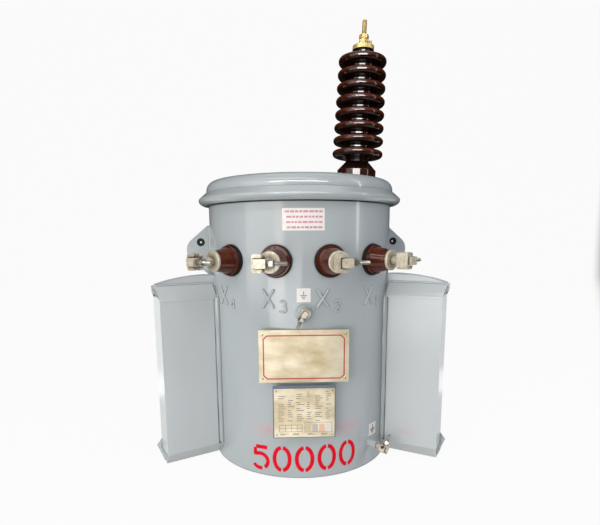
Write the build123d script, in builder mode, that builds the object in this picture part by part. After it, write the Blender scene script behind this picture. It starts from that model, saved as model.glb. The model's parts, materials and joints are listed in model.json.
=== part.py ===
# A single-phase, oil-filled distribution transformer for a pole: a round sheet-steel tank with a banded
# lid, a ribbed high-voltage bushing on the lid, a row of low-voltage bushings round the front, two flat
# radiators, lifting lugs, earth clamps, plates and the hangers that carry it on a pole.
#
# Millimetres, +Z up. The origin is on the tank axis, at the underside of the tank floor.
# The front, with the plates, faces -Y. Bearings are degrees round the axis, from the front towards +X.

import os
from math import asin, cos, degrees, hypot, radians, sin, sqrt

from build123d import *

os.makedirs("parts", exist_ok=True)

# Tank
tank_radius = 240
tank_height = 676
tank_sheet = 4
floor_thickness = 6

# Lid and its clamping band
lid_sheet = 4
lid_overhang = 5
lid_skirt_height = 18
lid_shoulder_radius = 24
lid_dome_rise = 7
band_overhang = 25
band_drop = 21
band_rise = 16
band_crest_drop = 4.5

# Running clearance between a round piece and its hole, and the overrun of every cut
fit_clearance = 0.3
cut_overrun = 20

# Radiators: flat oil boxes, pinched to a welded seam at the top and at the foot
radiator_bearing = 60.5
radiator_reach = 147
radiator_thickness = 55
radiator_foot = 9
radiator_foot_pinch = 33
radiator_wall_height = 390
radiator_top_pinch = 23
radiator_seam_height = 28
radiator_seam_bow = 2
radiator_seam_fall = 19
radiator_seam_thickness = 4
radiator_seam_flare = 11
radiator_foot_inset = 3
radiator_edge_radius = 8
radiator_neck_length = 10
radiator_neck_inset = 6
radiator_neck_edge_radius = 5
radiator_sheet = 2
gusset_depth = 26
ear_reach = 13
ear_rise = 36
ear_peak_rise = 10
ear_overlap = 12
ear_tuck = 4
ear_flap_share = 0.8

# High-voltage bushing
hv_inset = 88
hv_seat_radius = 57
hv_seat_height = 4
hv_gasket_radius = 53
hv_gasket_thickness = 5
hv_foot_radius = 51
hv_foot_lip = 20
hv_neck_radius = 30
hv_neck_height = 43
hv_core_radius = 38
hv_first_shed_height = 61
hv_shed_pitch = 32.5
hv_shed_count = 8
hv_low_shed_radius = 66.3
hv_top_shed_radius = 61.5
hv_rim_radius = 8.5
hv_crown_radius = 23
hv_crown_height = 10
hv_cap_gasket_radius = 24
hv_cap_gasket_thickness = 2
hv_cap_radius = 27.5
hv_cap_thickness = 10
hv_hub_radius = 13
hv_hub_height = 6
hv_stud_radius = 6.5
hv_stud_depth = 30
hv_terminal_radius = 6
hv_terminal_length = 34
hv_nut_width = 22
hv_nut_height = 11
hv_nut_count = 2
vent_screw_radius = 5
vent_screw_height = 9
vent_screw_offset = 20
vent_screw_turn = -43

# Low-voltage bushings
lv_drop = 153
lv_spacing = 29.5
lv_count = 4
lv_gasket_radius = 37.5
lv_gasket_stand = 5
lv_base_radius = 34.5
lv_base_lip = 9
lv_shoulder_radius = 31.5
lv_tip_radius = 23
lv_porcelain_length = 45

# Terminal clamp on each low-voltage bushing: a disc, a neck and a yoke, which is a saddle with a hole for
# the conductor, held in a fork
clamp_disc_radius = 24
clamp_disc_thickness = 7
clamp_neck_radius = 10
clamp_neck_length = 24
clamp_disc_edge_radius = 2
yoke_length = 31
yoke_height = 38
yoke_depth = 34
yoke_shift = -6.5
yoke_edge_radius = 5
fork_length = 22
fork_depth = 28
fork_web = 4
fork_back = 4
saddle_height = 19
saddle_gap = 1.5
saddle_edge_radius = 3
conductor_radius = 8
conductor_wall = 5
bolt_radius = 4.5
bolt_reach = 42
bolt_nut_width = 17
bolt_nut_height = 11
washer_radius = 9
washer_thickness = 3

# Earth clamps: one on a pad in the front, one on a boss near the foot
earth_rise = 38
earth_pad_radius = 17.5
earth_pad_stand = 8
low_earth_height = 59
low_earth_bearing = 44
low_earth_boss_radius = 9.5
low_earth_boss_stand = 27
earth_scale_share = 0.56
earth_bolt_reach = 31
earth_bolt_turn = -118
low_earth_bolt_turn = 50

# Plates and the channel brackets behind them
name_plate_width = 208
name_plate_height = 124
name_plate_stand = 6
rating_plate_width = 141
rating_plate_height = 118
rating_plate_bottom = 114
rating_plate_stand = 16
plate_gap = 12
plate_thickness = 1.5
bracket_sheet = 2
bracket_margin = 6

# Lifting lugs
lug_thickness = 12
lug_gap = 47
lug_height = 128
lug_turn = 6.75
lug_reach = 61
lug_nose_radius = 36
lug_hole_radius = 10.5
lug_hole_offset = 24
lug_hole_rise = 21

# Pole hangers on the back
hanger_spacing = 286
hanger_drop = 116
hanger_width = 92
hanger_height = 84
hanger_stand = 46
hanger_plate = 8
hanger_bend_radius = 6
hanger_slot_width = 18
hanger_slot_length = 40

# Worked out from the sizes above
lv_height = tank_height - lv_drop
lug_top = tank_height - band_drop - lug_gap
lug_middle = lug_top - lug_height / 2
hanger_top_height = tank_height - hanger_drop
name_plate_bottom = rating_plate_bottom + rating_plate_height + plate_gap
earth_height = name_plate_bottom + name_plate_height + earth_rise
hv_offset = tank_radius - hv_inset
lid_base = tank_height
shoulder_height = lid_base + lid_skirt_height
lid_radius = tank_radius + lid_overhang
dome_edge_radius = lid_radius - lid_shoulder_radius
dome_edge_height = shoulder_height + lid_shoulder_radius
dome_top = dome_edge_height + lid_dome_rise
dome_sphere_radius = (dome_edge_radius**2 + lid_dome_rise**2) / (2 * lid_dome_rise)
dome_centre = dome_top - dome_sphere_radius
hv_lean = degrees(asin(hv_offset / dome_sphere_radius))
hv_foot_height = dome_centre + sqrt(dome_sphere_radius**2 - hv_offset**2)


def radial_plane(bearing, height, stand=0):
    """A plane facing outwards from the tank wall: x runs round the wall, y runs up, z points out."""
    turn = radians(bearing)
    outward = Vector(sin(turn), -cos(turn), 0)
    along = Vector(cos(turn), sin(turn), 0)
    origin = outward * (tank_radius + stand) + Vector(0, 0, height)
    return Plane(origin=origin, x_dir=along, z_dir=outward)


def save(builder, name):
    """Label the finished piece and write it."""
    builder.part.label = name
    export_step(builder.part, f"parts/{name}.step")


# Everything inside the tank wall, to trim what is welded or seated on it
with BuildPart() as tank_space:
    Cylinder(tank_radius, tank_height, align=(Align.CENTER, Align.CENTER, Align.MIN))

# Tank wall: one rolled sheet
with BuildPart() as tank_wall:
    with BuildSketch():
        Circle(tank_radius)
        Circle(tank_radius - tank_sheet, mode=Mode.SUBTRACT)
    extrude(amount=tank_height)
save(tank_wall, "tank_wall")

# Tank floor: a disc welded inside the wall, flush with its lower edge
with BuildPart() as tank_floor:
    Cylinder(tank_radius - tank_sheet, floor_thickness, align=(Align.CENTER, Align.CENTER, Align.MIN))
save(tank_floor, "tank_floor")

# The high-voltage bushing stands square on the dome, so it leans outwards a little
hv_plane = Plane(
    origin=(hv_offset, 0, hv_foot_height),
    x_dir=(cos(radians(hv_lean)), 0, -sin(radians(hv_lean))),
    z_dir=(sin(radians(hv_lean)), 0, cos(radians(hv_lean))),
)

# Lid: a pressed cover with a straight skirt, a round shoulder and a shallow dome, and the bushing's seat
with BuildPart() as lid:
    with BuildSketch(Plane.XZ):
        with BuildLine():
            inner_radius = tank_radius - tank_sheet
            inner_edge = dome_edge_height - lid_sheet
            Line((inner_radius, lid_base), (lid_radius, lid_base))
            Line((lid_radius, lid_base), (lid_radius, shoulder_height))
            RadiusArc(
                (lid_radius, shoulder_height), (dome_edge_radius, dome_edge_height), -lid_shoulder_radius
            )
            RadiusArc((dome_edge_radius, dome_edge_height), (0, dome_top), -dome_sphere_radius)
            Line((0, dome_top), (0, dome_top - lid_sheet))
            RadiusArc(
                (0, dome_top - lid_sheet), (dome_edge_radius, inner_edge), dome_sphere_radius - lid_sheet
            )
            EllipticalCenterArc(
                (dome_edge_radius, shoulder_height),
                inner_radius - dome_edge_radius,
                lid_shoulder_radius - lid_sheet,
                start_angle=0,
                arc_size=90,
            )
            Line((inner_radius, shoulder_height), (inner_radius, lid_base))
        make_face()
    revolve(axis=Axis.Z)
    with BuildSketch(hv_plane.offset(-lid_sheet / 2)):
        Circle(hv_seat_radius)
    extrude(amount=hv_seat_height + lid_sheet / 2)
save(lid, "lid")

# Band: a rolled ring that covers the joint between the lid and the tank
band_crest = tank_height - band_crest_drop
with BuildPart() as rim_band:
    with BuildSketch(Plane.XZ):
        with BuildLine():
            Polyline(
                (tank_radius, tank_height - band_drop),
                (tank_radius, tank_height),
                (lid_radius, tank_height),
                (lid_radius, tank_height + band_rise),
            )
            EllipticalCenterArc(
                (lid_radius, band_crest),
                band_overhang - lid_overhang,
                band_rise + band_crest_drop,
                start_angle=0,
                arc_size=90,
            )
            EllipticalCenterArc(
                (tank_radius, band_crest),
                band_overhang,
                band_drop - band_crest_drop,
                start_angle=270,
                arc_size=90,
            )
        make_face()
    revolve(axis=Axis.Z)
save(rim_band, "rim_band")

# Radiators. In the radiator's own plane x runs outwards, y runs back across its thickness and z runs up.
lean = radians(90 - radiator_bearing)
radiator_plane = Plane(
    origin=(0, 0, 0), x_dir=(cos(lean), -sin(lean), 0), z_dir=(0, 0, 1)
)
radiator_inner = tank_radius - radiator_thickness / 2
radiator_outer = tank_radius + radiator_reach
seam_outer = radiator_outer + radiator_seam_flare
foot_outer = radiator_outer - radiator_foot_inset
seam_offset = (radiator_thickness - radiator_seam_thickness) / 2
wall_foot = radiator_foot + radiator_foot_pinch
wall_top = wall_foot + radiator_wall_height
seam_foot = wall_top + radiator_top_pinch
lowest = (Align.MIN, Align.MIN)


def section(height, outer, offset, thickness):
    """A level rectangle across the radiator, from inside the tank wall to its outer end."""
    with BuildSketch(radiator_plane.offset(height)) as sketch:
        with Locations((radiator_inner, offset)):
            Rectangle(outer - radiator_inner, thickness, align=lowest)
    return sketch.sketch


def gusset(outer, wall_height, seam_height):
    """The hollow left at the outer end where the end strip is folded in between the two walls."""
    inset = radiator_sheet
    mid = radiator_thickness / 2
    corners = [
        (outer, inset, wall_height),
        (outer, radiator_thickness - inset, wall_height),
        (outer, mid, seam_height),
    ]
    points = [radiator_plane.from_local_coords(Vector(*corner)) for corner in corners]
    mouth = Face(Wire.make_polygon(points, close=True))
    tip = Vertex(*radiator_plane.from_local_coords(Vector(radiator_outer - gusset_depth, mid, seam_height)))
    return mouth, tip


def ear_outlines():
    """The two flat stretches of the ear, as corners in the radiator's plane: upright, and along the fold."""
    far = radiator_thickness
    root = radiator_outer - ear_overlap
    tip = radiator_outer + ear_reach
    fold_end = tip - ear_tuck
    flap_foot = wall_foot - ear_flap_share * radiator_foot_pinch
    flap_far = far - ear_flap_share * seam_offset
    upright = [
        (root, far, wall_foot + ear_rise),
        (radiator_outer - radiator_edge_radius, far, wall_foot + ear_rise),
        (tip, far, wall_foot + ear_peak_rise),
        (fold_end, far, wall_foot),
        (root, far, wall_foot),
    ]
    folded = [
        (root, far, wall_foot),
        (fold_end, far, wall_foot),
        (radiator_outer, flap_far, flap_foot),
        (root, flap_far, flap_foot),
    ]
    return upright, folded


with BuildPart() as radiator_right:
    # The flat box, with round corners, on a narrower neck that is welded to the tank
    with BuildSketch(radiator_plane.offset(wall_foot)) as box_sketch:
        with Locations((tank_radius + radiator_neck_length, 0)):
            Rectangle(radiator_reach - radiator_neck_length, radiator_thickness, align=lowest)
        corners = box_sketch.vertices().sort_by(Axis.X)
        fillet(corners[:2], radiator_neck_edge_radius)
        fillet(corners[2:], radiator_edge_radius)
        with Locations((radiator_inner, radiator_neck_inset)):
            Rectangle(
                tank_radius + radiator_thickness / 2 - radiator_inner,
                radiator_thickness - 2 * radiator_neck_inset,
                align=lowest,
            )
    extrude(amount=radiator_wall_height)
    # The pinched top and foot
    loft(
        sections=[
            section(wall_top, radiator_outer, 0, radiator_thickness),
            section(seam_foot, seam_outer, seam_offset, radiator_seam_thickness),
        ],
        ruled=True,
    )
    loft(
        sections=[
            section(radiator_foot, foot_outer, seam_offset, radiator_seam_thickness),
            section(wall_foot, radiator_outer, 0, radiator_thickness),
        ],
        ruled=True,
    )
    # The welded seam that stands up along the top and curves down towards its outer end
    seam_plane = Plane(
        origin=radiator_plane.from_local_coords(Vector(0, seam_offset, 0)),
        x_dir=radiator_plane.x_dir,
        z_dir=-radiator_plane.y_dir,
    )
    with BuildSketch(seam_plane):
        with BuildLine():
            seam_top = seam_foot + radiator_seam_height
            seam_end = (seam_outer, seam_top - radiator_seam_fall)
            seam_middle = ((tank_radius + seam_outer) / 2, seam_top - radiator_seam_bow)
            Polyline(
                (tank_radius, seam_top),
                (radiator_inner, seam_top),
                (radiator_inner, seam_foot),
                (seam_outer, seam_foot),
                seam_end,
            )
            ThreePointArc(seam_end, seam_middle, (tank_radius, seam_top))
        make_face()
    extrude(amount=-radiator_seam_thickness)
    for outer, wall_height, seam_height in (
        (radiator_outer, wall_foot, radiator_foot),
        (seam_outer, wall_top, seam_foot),
    ):
        mouth, tip = gusset(outer, wall_height, seam_height)
        loft(sections=[mouth, tip], mode=Mode.SUBTRACT)
    # The ear: the far wall runs on past the end strip near the foot and folds in towards the seam
    for outline in ear_outlines():
        points = [radiator_plane.from_local_coords(Vector(*corner)) for corner in outline]
        sheet = Face(Wire.make_polygon(points, close=True))
        extrude(sheet, amount=radiator_sheet, dir=-radiator_plane.y_dir)
    add(tank_space.part, mode=Mode.SUBTRACT)
save(radiator_right, "radiator_right")

with BuildPart() as radiator_left:
    mirror(radiator_right.part, about=Plane.YZ)
save(radiator_left, "radiator_left")

# Lifting lugs: flat ears on opposite sides, with a hole for a shackle
lug_plane = Plane(
    origin=(0, 0, 0),
    x_dir=(cos(radians(lug_turn)), sin(radians(lug_turn)), 0),
    z_dir=(sin(radians(lug_turn)), -cos(radians(lug_turn)), 0),
)
with BuildPart() as lug_right:
    with BuildSketch(lug_plane.offset(-lug_thickness / 2)):
        with BuildSketch(mode=Mode.PRIVATE) as ear:
            with Locations((tank_radius, lug_middle)):
                Rectangle(lug_thickness, lug_height)
            with Locations((tank_radius + lug_reach - lug_nose_radius, lug_middle)):
                Circle(lug_nose_radius)
        make_hull(ear.sketch.edges())
        with Locations((tank_radius + lug_hole_offset, lug_middle + lug_hole_rise)):
            Circle(lug_hole_radius, mode=Mode.SUBTRACT)
    extrude(amount=lug_thickness)
    add(tank_space.part, mode=Mode.SUBTRACT)
save(lug_right, "lifting_lug_right")

with BuildPart() as lug_left:
    add(lug_right.part.rotate(Axis.Z, 180))
save(lug_left, "lifting_lug_left")

# High-voltage bushing: gasket, ribbed porcelain, and the metal top
hv_gasket_plane = hv_plane.offset(hv_seat_height)
with BuildPart() as hv_base_gasket:
    with BuildSketch(hv_gasket_plane):
        Circle(hv_gasket_radius)
    extrude(amount=hv_gasket_thickness)
save(hv_base_gasket, "hv_base_gasket")

hv_body_plane = hv_gasket_plane.offset(hv_gasket_thickness)
hv_last_shed_height = hv_first_shed_height + (hv_shed_count - 1) * hv_shed_pitch
hv_crown_foot = hv_last_shed_height + hv_shed_pitch / 2
hv_top = hv_crown_foot + hv_crown_height
shed_shrink = (hv_low_shed_radius - hv_top_shed_radius) / (hv_shed_count - 1)
hv_profile_plane = Plane(origin=hv_body_plane.origin, x_dir=hv_body_plane.x_dir, z_dir=-hv_body_plane.y_dir)
with BuildPart() as hv_bushing:
    with BuildSketch(hv_profile_plane):
        with BuildLine():
            Line((0, 0), (hv_foot_radius, 0))
            Line((hv_foot_radius, 0), (hv_foot_radius, hv_foot_lip))
            Line((hv_foot_radius, hv_foot_lip), (hv_neck_radius, hv_neck_height))
            valley = (hv_core_radius, hv_first_shed_height - hv_shed_pitch / 2)
            Line((hv_neck_radius, hv_neck_height), valley)
            for shed in range(hv_shed_count):
                centre = hv_first_shed_height + shed * hv_shed_pitch
                rim = hv_low_shed_radius - shed * shed_shrink
                below = (rim - hv_rim_radius, centre - hv_rim_radius)
                above = (rim - hv_rim_radius, centre + hv_rim_radius)
                Line(valley, below)
                ThreePointArc(below, (rim, centre), above)
                valley = (hv_core_radius, centre + hv_shed_pitch / 2)
                Line(above, valley)
            Line(valley, (hv_crown_radius, hv_crown_foot))
            Line((hv_crown_radius, hv_crown_foot), (hv_crown_radius, hv_top))
            Line((hv_crown_radius, hv_top), (0, hv_top))
            Line((0, hv_top), (0, 0))
        make_face()
    revolve(axis=Axis(hv_body_plane.origin, hv_body_plane.z_dir))
    with BuildSketch(hv_body_plane.offset(hv_top)):
        Circle(hv_stud_radius + fit_clearance)
    extrude(amount=-hv_stud_depth, mode=Mode.SUBTRACT)
save(hv_bushing, "hv_bushing")

hv_cap_gasket_plane = hv_body_plane.offset(hv_top)
with BuildPart() as hv_cap_gasket:
    with BuildSketch(hv_cap_gasket_plane):
        Circle(hv_cap_gasket_radius)
        Circle(hv_stud_radius + fit_clearance, mode=Mode.SUBTRACT)
    extrude(amount=hv_cap_gasket_thickness)
save(hv_cap_gasket, "hv_cap_gasket")

hv_cap_plane = hv_cap_gasket_plane.offset(hv_cap_gasket_thickness)
with BuildPart() as hv_cap:
    with BuildSketch(hv_cap_plane):
        Circle(hv_cap_radius)
    extrude(amount=hv_cap_thickness)
    with BuildSketch(hv_cap_plane.offset(hv_cap_thickness)):
        Circle(hv_hub_radius)
    extrude(amount=hv_hub_height)
    with BuildSketch(hv_cap_plane.offset(hv_cap_thickness)):
        with PolarLocations(vent_screw_offset, 1, start_angle=vent_screw_turn):
            RegularPolygon(vent_screw_radius, 6)
    extrude(amount=vent_screw_height)
    with BuildSketch(hv_cap_plane):
        Circle(hv_stud_radius + fit_clearance)
    extrude(amount=hv_cap_thickness + hv_hub_height, mode=Mode.SUBTRACT)
save(hv_cap, "hv_cap")

hv_nut_plane = hv_cap_plane.offset(hv_cap_thickness + hv_hub_height)
with BuildPart() as hv_nut:
    for nut in range(hv_nut_count):
        with BuildSketch(hv_nut_plane.offset(nut * hv_nut_height)):
            RegularPolygon(hv_nut_width / 2, 6, major_radius=False, rotation=nut * 30)
            Circle(hv_stud_radius + fit_clearance, mode=Mode.SUBTRACT)
        extrude(amount=hv_nut_height)
save(hv_nut, "hv_nut")

hv_terminal_plane = hv_nut_plane.offset(hv_nut_count * hv_nut_height)
hv_shank_rise = hv_cap_gasket_thickness + hv_cap_thickness + hv_hub_height + hv_nut_count * hv_nut_height
with BuildPart() as hv_stud:
    with BuildSketch(hv_terminal_plane):
        Circle(hv_stud_radius)
    extrude(amount=-(hv_shank_rise + hv_stud_depth))
    with BuildSketch(hv_terminal_plane):
        Circle(hv_terminal_radius)
    extrude(amount=hv_terminal_length)
save(hv_stud, "hv_stud")

# Terminal clamps. In a clamp's own plane x runs along its bolt, y across it and z outwards.
def clamp_yoke(back, scale):
    """A clamp's yoke, and the plane of its bolt: a fork at one end and a saddle that holds the conductor."""
    left = (yoke_shift - yoke_length / 2) * scale
    right = (yoke_shift + yoke_length / 2) * scale
    window_left = left + fork_web * scale
    saddle_left = window_left + saddle_gap * scale
    conductor = right - (conductor_wall + conductor_radius) * scale
    middle = yoke_depth * scale / 2
    from_left = (Align.MIN, Align.CENTER)
    bolt_plane = Plane(
        origin=back.from_local_coords(Vector(right, 0, middle)), x_dir=back.y_dir, z_dir=back.x_dir
    )
    conductor_plane = Plane(
        origin=back.from_local_coords(Vector(conductor, -yoke_height * scale / 2, middle)),
        x_dir=back.x_dir,
        z_dir=back.y_dir,
    )
    with BuildPart() as yoke:
        with BuildSketch(back):
            with Locations((left, 0)):
                RectangleRounded(
                    fork_length * scale, yoke_height * scale, yoke_edge_radius * scale, align=from_left
                )
        extrude(amount=fork_depth * scale)
        with BuildSketch(back.offset(fork_back * scale)):
            with Locations((window_left, 0)):
                Rectangle(fork_length * scale, (saddle_height + 2 * saddle_gap) * scale, align=from_left)
        extrude(amount=fork_depth * scale, mode=Mode.SUBTRACT)
        with BuildSketch(back):
            with Locations((saddle_left, 0)):
                RectangleRounded(
                    right - saddle_left, saddle_height * scale, saddle_edge_radius * scale, align=from_left
                )
        extrude(amount=yoke_depth * scale)
        with BuildSketch(conductor_plane):
            Circle(conductor_radius * scale)
        extrude(amount=yoke_height * scale, mode=Mode.SUBTRACT)
        with BuildSketch(bolt_plane):
            Circle(bolt_radius * scale + fit_clearance)
        extrude(amount=-(conductor_wall + conductor_radius) * scale, mode=Mode.SUBTRACT)
    return yoke.part, bolt_plane


def clamp_bolt(plane, scale, reach):
    """The bolt that presses on the conductor: a washer, a nut and a threaded end that stands out."""
    with BuildPart() as bolt:
        with BuildSketch(plane):
            Circle(washer_radius * scale)
        extrude(amount=washer_thickness * scale)
        with BuildSketch(plane.offset(washer_thickness * scale)):
            RegularPolygon(bolt_nut_width * scale / 2, 6, major_radius=False)
        extrude(amount=bolt_nut_height * scale)
        with BuildSketch(plane.offset(-conductor_wall * scale)):
            Circle(bolt_radius * scale)
        extrude(amount=conductor_wall * scale + reach)
    return bolt


# Low-voltage bushings: gasket shaped to the wall, porcelain cone, clamp and its bolt
lv_face = lv_gasket_stand + lv_porcelain_length
disc_face = lv_face + clamp_disc_thickness
yoke_face = disc_face + clamp_neck_length
for number in range(1, lv_count + 1):
    bearing = lv_spacing * (number - (lv_count + 1) / 2)
    lv_plane = radial_plane(bearing, lv_height)

    with BuildPart() as lv_gasket:
        with BuildSketch(lv_plane.offset(lv_gasket_stand)):
            Circle(lv_gasket_radius)
        extrude(amount=-(lv_gasket_stand + cut_overrun))
        add(tank_space.part, mode=Mode.SUBTRACT)
    save(lv_gasket, f"lv_gasket_{number}")

    lv_profile_plane = Plane(origin=lv_plane.origin, x_dir=lv_plane.x_dir, z_dir=-lv_plane.y_dir)
    lip_end = lv_gasket_stand + lv_base_lip
    with BuildPart() as lv_bushing:
        with BuildSketch(lv_profile_plane):
            with BuildLine():
                Polyline(
                    (0, lv_gasket_stand),
                    (lv_base_radius, lv_gasket_stand),
                    (lv_base_radius, lip_end),
                    (lv_shoulder_radius, lip_end),
                    (lv_tip_radius, lv_face),
                    (0, lv_face),
                    close=True,
                )
            make_face()
        revolve(axis=Axis(lv_plane.origin, lv_plane.z_dir))
    save(lv_bushing, f"lv_bushing_{number}")

    yoke, bolt_plane = clamp_yoke(lv_plane.offset(yoke_face), 1)
    with BuildPart() as lv_clamp:
        with BuildSketch(lv_plane.offset(lv_face)):
            Circle(clamp_disc_radius)
        extrude(amount=clamp_disc_thickness)
        fillet(lv_clamp.edges().filter_by(GeomType.CIRCLE), clamp_disc_edge_radius)
        with BuildSketch(lv_plane.offset(disc_face)):
            Circle(clamp_neck_radius)
        extrude(amount=clamp_neck_length)
        add(yoke)
    save(lv_clamp, f"lv_clamp_{number}")
    save(clamp_bolt(bolt_plane, 1, bolt_reach), f"lv_clamp_bolt_{number}")


# Earth clamps: the same kind of clamp, smaller, turned about the axis of its pad or boss
def earth_set(name, plane, pad_radius, pad_stand, turn, pad_name):
    """A pad or boss welded to the wall, a clamp on it and the clamp's bolt."""
    scale = earth_scale_share
    angle = radians(turn)
    turned = Plane(
        origin=plane.from_local_coords(Vector(0, 0, pad_stand)),
        x_dir=plane.x_dir * cos(angle) + plane.y_dir * sin(angle),
        z_dir=plane.z_dir,
    )
    with BuildPart() as pad:
        with BuildSketch(plane.offset(pad_stand)):
            Circle(pad_radius)
        extrude(amount=-(pad_stand + cut_overrun))
        add(tank_space.part, mode=Mode.SUBTRACT)
    save(pad, f"{name}_{pad_name}")

    neck = clamp_neck_length * scale
    yoke, bolt_plane = clamp_yoke(turned.offset(neck), scale)
    with BuildPart() as clamp:
        with BuildSketch(turned):
            Circle(clamp_neck_radius * scale)
        extrude(amount=neck)
        add(yoke)
    save(clamp, f"{name}_clamp")
    save(clamp_bolt(bolt_plane, scale, earth_bolt_reach), f"{name}_bolt")


earth_set(
    "front_earth", radial_plane(0, earth_height), earth_pad_radius, earth_pad_stand, earth_bolt_turn, "pad"
)
earth_set(
    "low_earth",
    radial_plane(low_earth_bearing, low_earth_height),
    low_earth_boss_radius,
    low_earth_boss_stand,
    low_earth_bolt_turn,
    "boss",
)


# Plates: flat sheets, each on a channel bracket whose sides run back to the round wall
def plate_set(name, width, height, bottom, stand):
    """A flat plate and the channel bracket behind it."""
    face = -(tank_radius + stand)
    bracket_width = width - 2 * bracket_margin
    bracket_height = height - 2 * bracket_margin
    with BuildPart() as bracket:
        with BuildSketch(Plane.XY.offset(bottom + bracket_margin)):
            with Locations((0, face)):
                Rectangle(bracket_width, tank_radius, align=(Align.CENTER, Align.MIN))
            with Locations((0, face + bracket_sheet)):
                Rectangle(
                    bracket_width - 2 * bracket_sheet,
                    tank_radius,
                    align=(Align.CENTER, Align.MIN),
                    mode=Mode.SUBTRACT,
                )
        extrude(amount=bracket_height)
        add(tank_space.part, mode=Mode.SUBTRACT)
    save(bracket, f"{name}_bracket")

    with BuildPart() as plate:
        with BuildSketch(Plane.XY.offset(bottom)):
            with Locations((0, face)):
                Rectangle(width, plate_thickness, align=(Align.CENTER, Align.MAX))
        extrude(amount=height)
    save(plate, name)


plate_set("name_plate", name_plate_width, name_plate_height, name_plate_bottom, name_plate_stand)
plate_set("rating_plate", rating_plate_width, rating_plate_height, rating_plate_bottom, rating_plate_stand)

# Pole hangers: bent channels on the back, each slotted for a bolt through the pole
for name, height in (
    ("lower_pole_hanger", hanger_top_height - hanger_spacing),
    ("upper_pole_hanger", hanger_top_height),
):
    with BuildPart() as hanger:
        with BuildSketch(Plane.XY.offset(height - hanger_height / 2)):
            with Locations((0, tank_radius + hanger_stand)):
                Rectangle(hanger_width, tank_radius, align=(Align.CENTER, Align.MAX))
            with Locations((0, tank_radius + hanger_stand - hanger_plate)):
                Rectangle(
                    hanger_width - 2 * hanger_plate,
                    tank_radius,
                    align=(Align.CENTER, Align.MAX),
                    mode=Mode.SUBTRACT,
                )
        extrude(amount=hanger_height)
        corners = hanger.edges().filter_by(Axis.Z).sort_by(Axis.Y)[-2:]
        fillet(corners, hanger_bend_radius)
        slot_plane = Plane(
            origin=(0, tank_radius + hanger_stand, height), x_dir=(0, 0, 1), z_dir=(0, 1, 0)
        )
        with BuildSketch(slot_plane):
            SlotOverall(hanger_slot_length, hanger_slot_width)
        extrude(amount=-hanger_plate, mode=Mode.SUBTRACT)
        add(tank_space.part, mode=Mode.SUBTRACT)
    save(hanger, name)
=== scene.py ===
# %% [markdown]
# # A pole-mounted transformer
# The CAD model gives this unit its tank, lid, radiators, bushings, clamps and plates, in metres, with the
# tank axis on Z and the front facing -Y. This lesson dresses it: paint, glaze and metal on the CAD pieces,
# and the small work that a welder, a fitter and a sign writer add afterwards.

import json
from math import cos, pi, radians, sin

import bmesh
import bpy
import numpy as np
from mathutils import Matrix, Vector


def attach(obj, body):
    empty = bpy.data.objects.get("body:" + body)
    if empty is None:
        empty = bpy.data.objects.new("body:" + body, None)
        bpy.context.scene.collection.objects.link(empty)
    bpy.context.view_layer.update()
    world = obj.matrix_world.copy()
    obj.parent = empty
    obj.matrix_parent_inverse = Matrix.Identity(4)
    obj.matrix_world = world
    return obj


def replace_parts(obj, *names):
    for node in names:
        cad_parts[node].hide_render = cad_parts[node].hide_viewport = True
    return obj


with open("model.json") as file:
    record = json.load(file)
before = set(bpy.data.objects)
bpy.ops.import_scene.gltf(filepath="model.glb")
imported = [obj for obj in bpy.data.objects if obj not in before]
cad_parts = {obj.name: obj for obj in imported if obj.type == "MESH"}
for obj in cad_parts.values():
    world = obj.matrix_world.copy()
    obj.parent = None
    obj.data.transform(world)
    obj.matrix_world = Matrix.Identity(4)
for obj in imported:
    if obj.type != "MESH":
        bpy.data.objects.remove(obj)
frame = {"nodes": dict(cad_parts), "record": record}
nodes = frame["nodes"]
mounts = {mount["name"]: mount for mount in frame["record"]["mounts"]}
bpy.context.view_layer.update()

# %% [markdown]
# ## Camera
# The picture was taken from a little above the low-voltage row, close up, with a wide lens. A pinhole camera
# fitted to the tank's outline gives the lens, the distance and the tilt. The frame sits above the lens axis,
# so the camera has a small upward shift instead of a steeper tilt.

# %% Camera
IMAGE_WIDTH = 600
FOCAL_PIXELS = 461.27
AXIS_ROW_OFFSET = 55.5
SENSOR_WIDTH = 36
CAMERA_PLACE = (0, -1.2776, 0.5723)
CAMERA_BEARING = radians(-2)
CAMERA_TILT = radians(90 - 9.728)
CAMERA_ROLL = -0.0056
camera_data = bpy.data.cameras.new("studio_camera")
camera_data.sensor_fit = "HORIZONTAL"
camera_data.sensor_width = SENSOR_WIDTH
camera_data.lens = SENSOR_WIDTH * FOCAL_PIXELS / IMAGE_WIDTH
camera_data.shift_y = AXIS_ROW_OFFSET / IMAGE_WIDTH
camera_data.clip_start = 0.05
camera = bpy.data.objects.new("studio_camera", camera_data)
bpy.context.scene.collection.objects.link(camera)
placed = Matrix.Rotation(CAMERA_BEARING, 4, "Z") @ Matrix.Translation(CAMERA_PLACE)
tilted = placed @ Matrix.Rotation(CAMERA_TILT, 4, "X")
camera.matrix_world = tilted @ Matrix.Rotation(CAMERA_ROLL, 4, "Z")
bpy.context.scene.camera = camera
print("lens", round(camera_data.lens, 2), "mm, shift", round(camera_data.shift_y, 4))

# %% [markdown]
# ## Nodes and colours
# Every finish below is a small node tree. One function adds a node and feeds its inputs, and one turns the
# hex colours that a person reads off a paint card into the linear values that Blender mixes. A CAD piece has
# one material slot, which takes its finish.


# %% Helpers for materials
def linear(code):
    """The linear RGBA of an sRGB hex colour: each channel through the sRGB curve, with full opacity."""
    srgb = np.array([int(code[i : i + 2], 16) for i in (1, 3, 5)]) / 255
    low = srgb / 12.92
    high = ((srgb + 0.055) / 1.055) ** 2.4
    return (*np.where(srgb <= 0.04045, low, high), 1.0)


def feed(tree, node, feeds):
    """Feed a node's inputs: another node's output is linked, and a plain value is set."""
    for key, value in feeds.items():
        if isinstance(value, bpy.types.NodeSocket):
            tree.links.new(value, node.inputs[key])
        else:
            node.inputs[key].default_value = value


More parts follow.
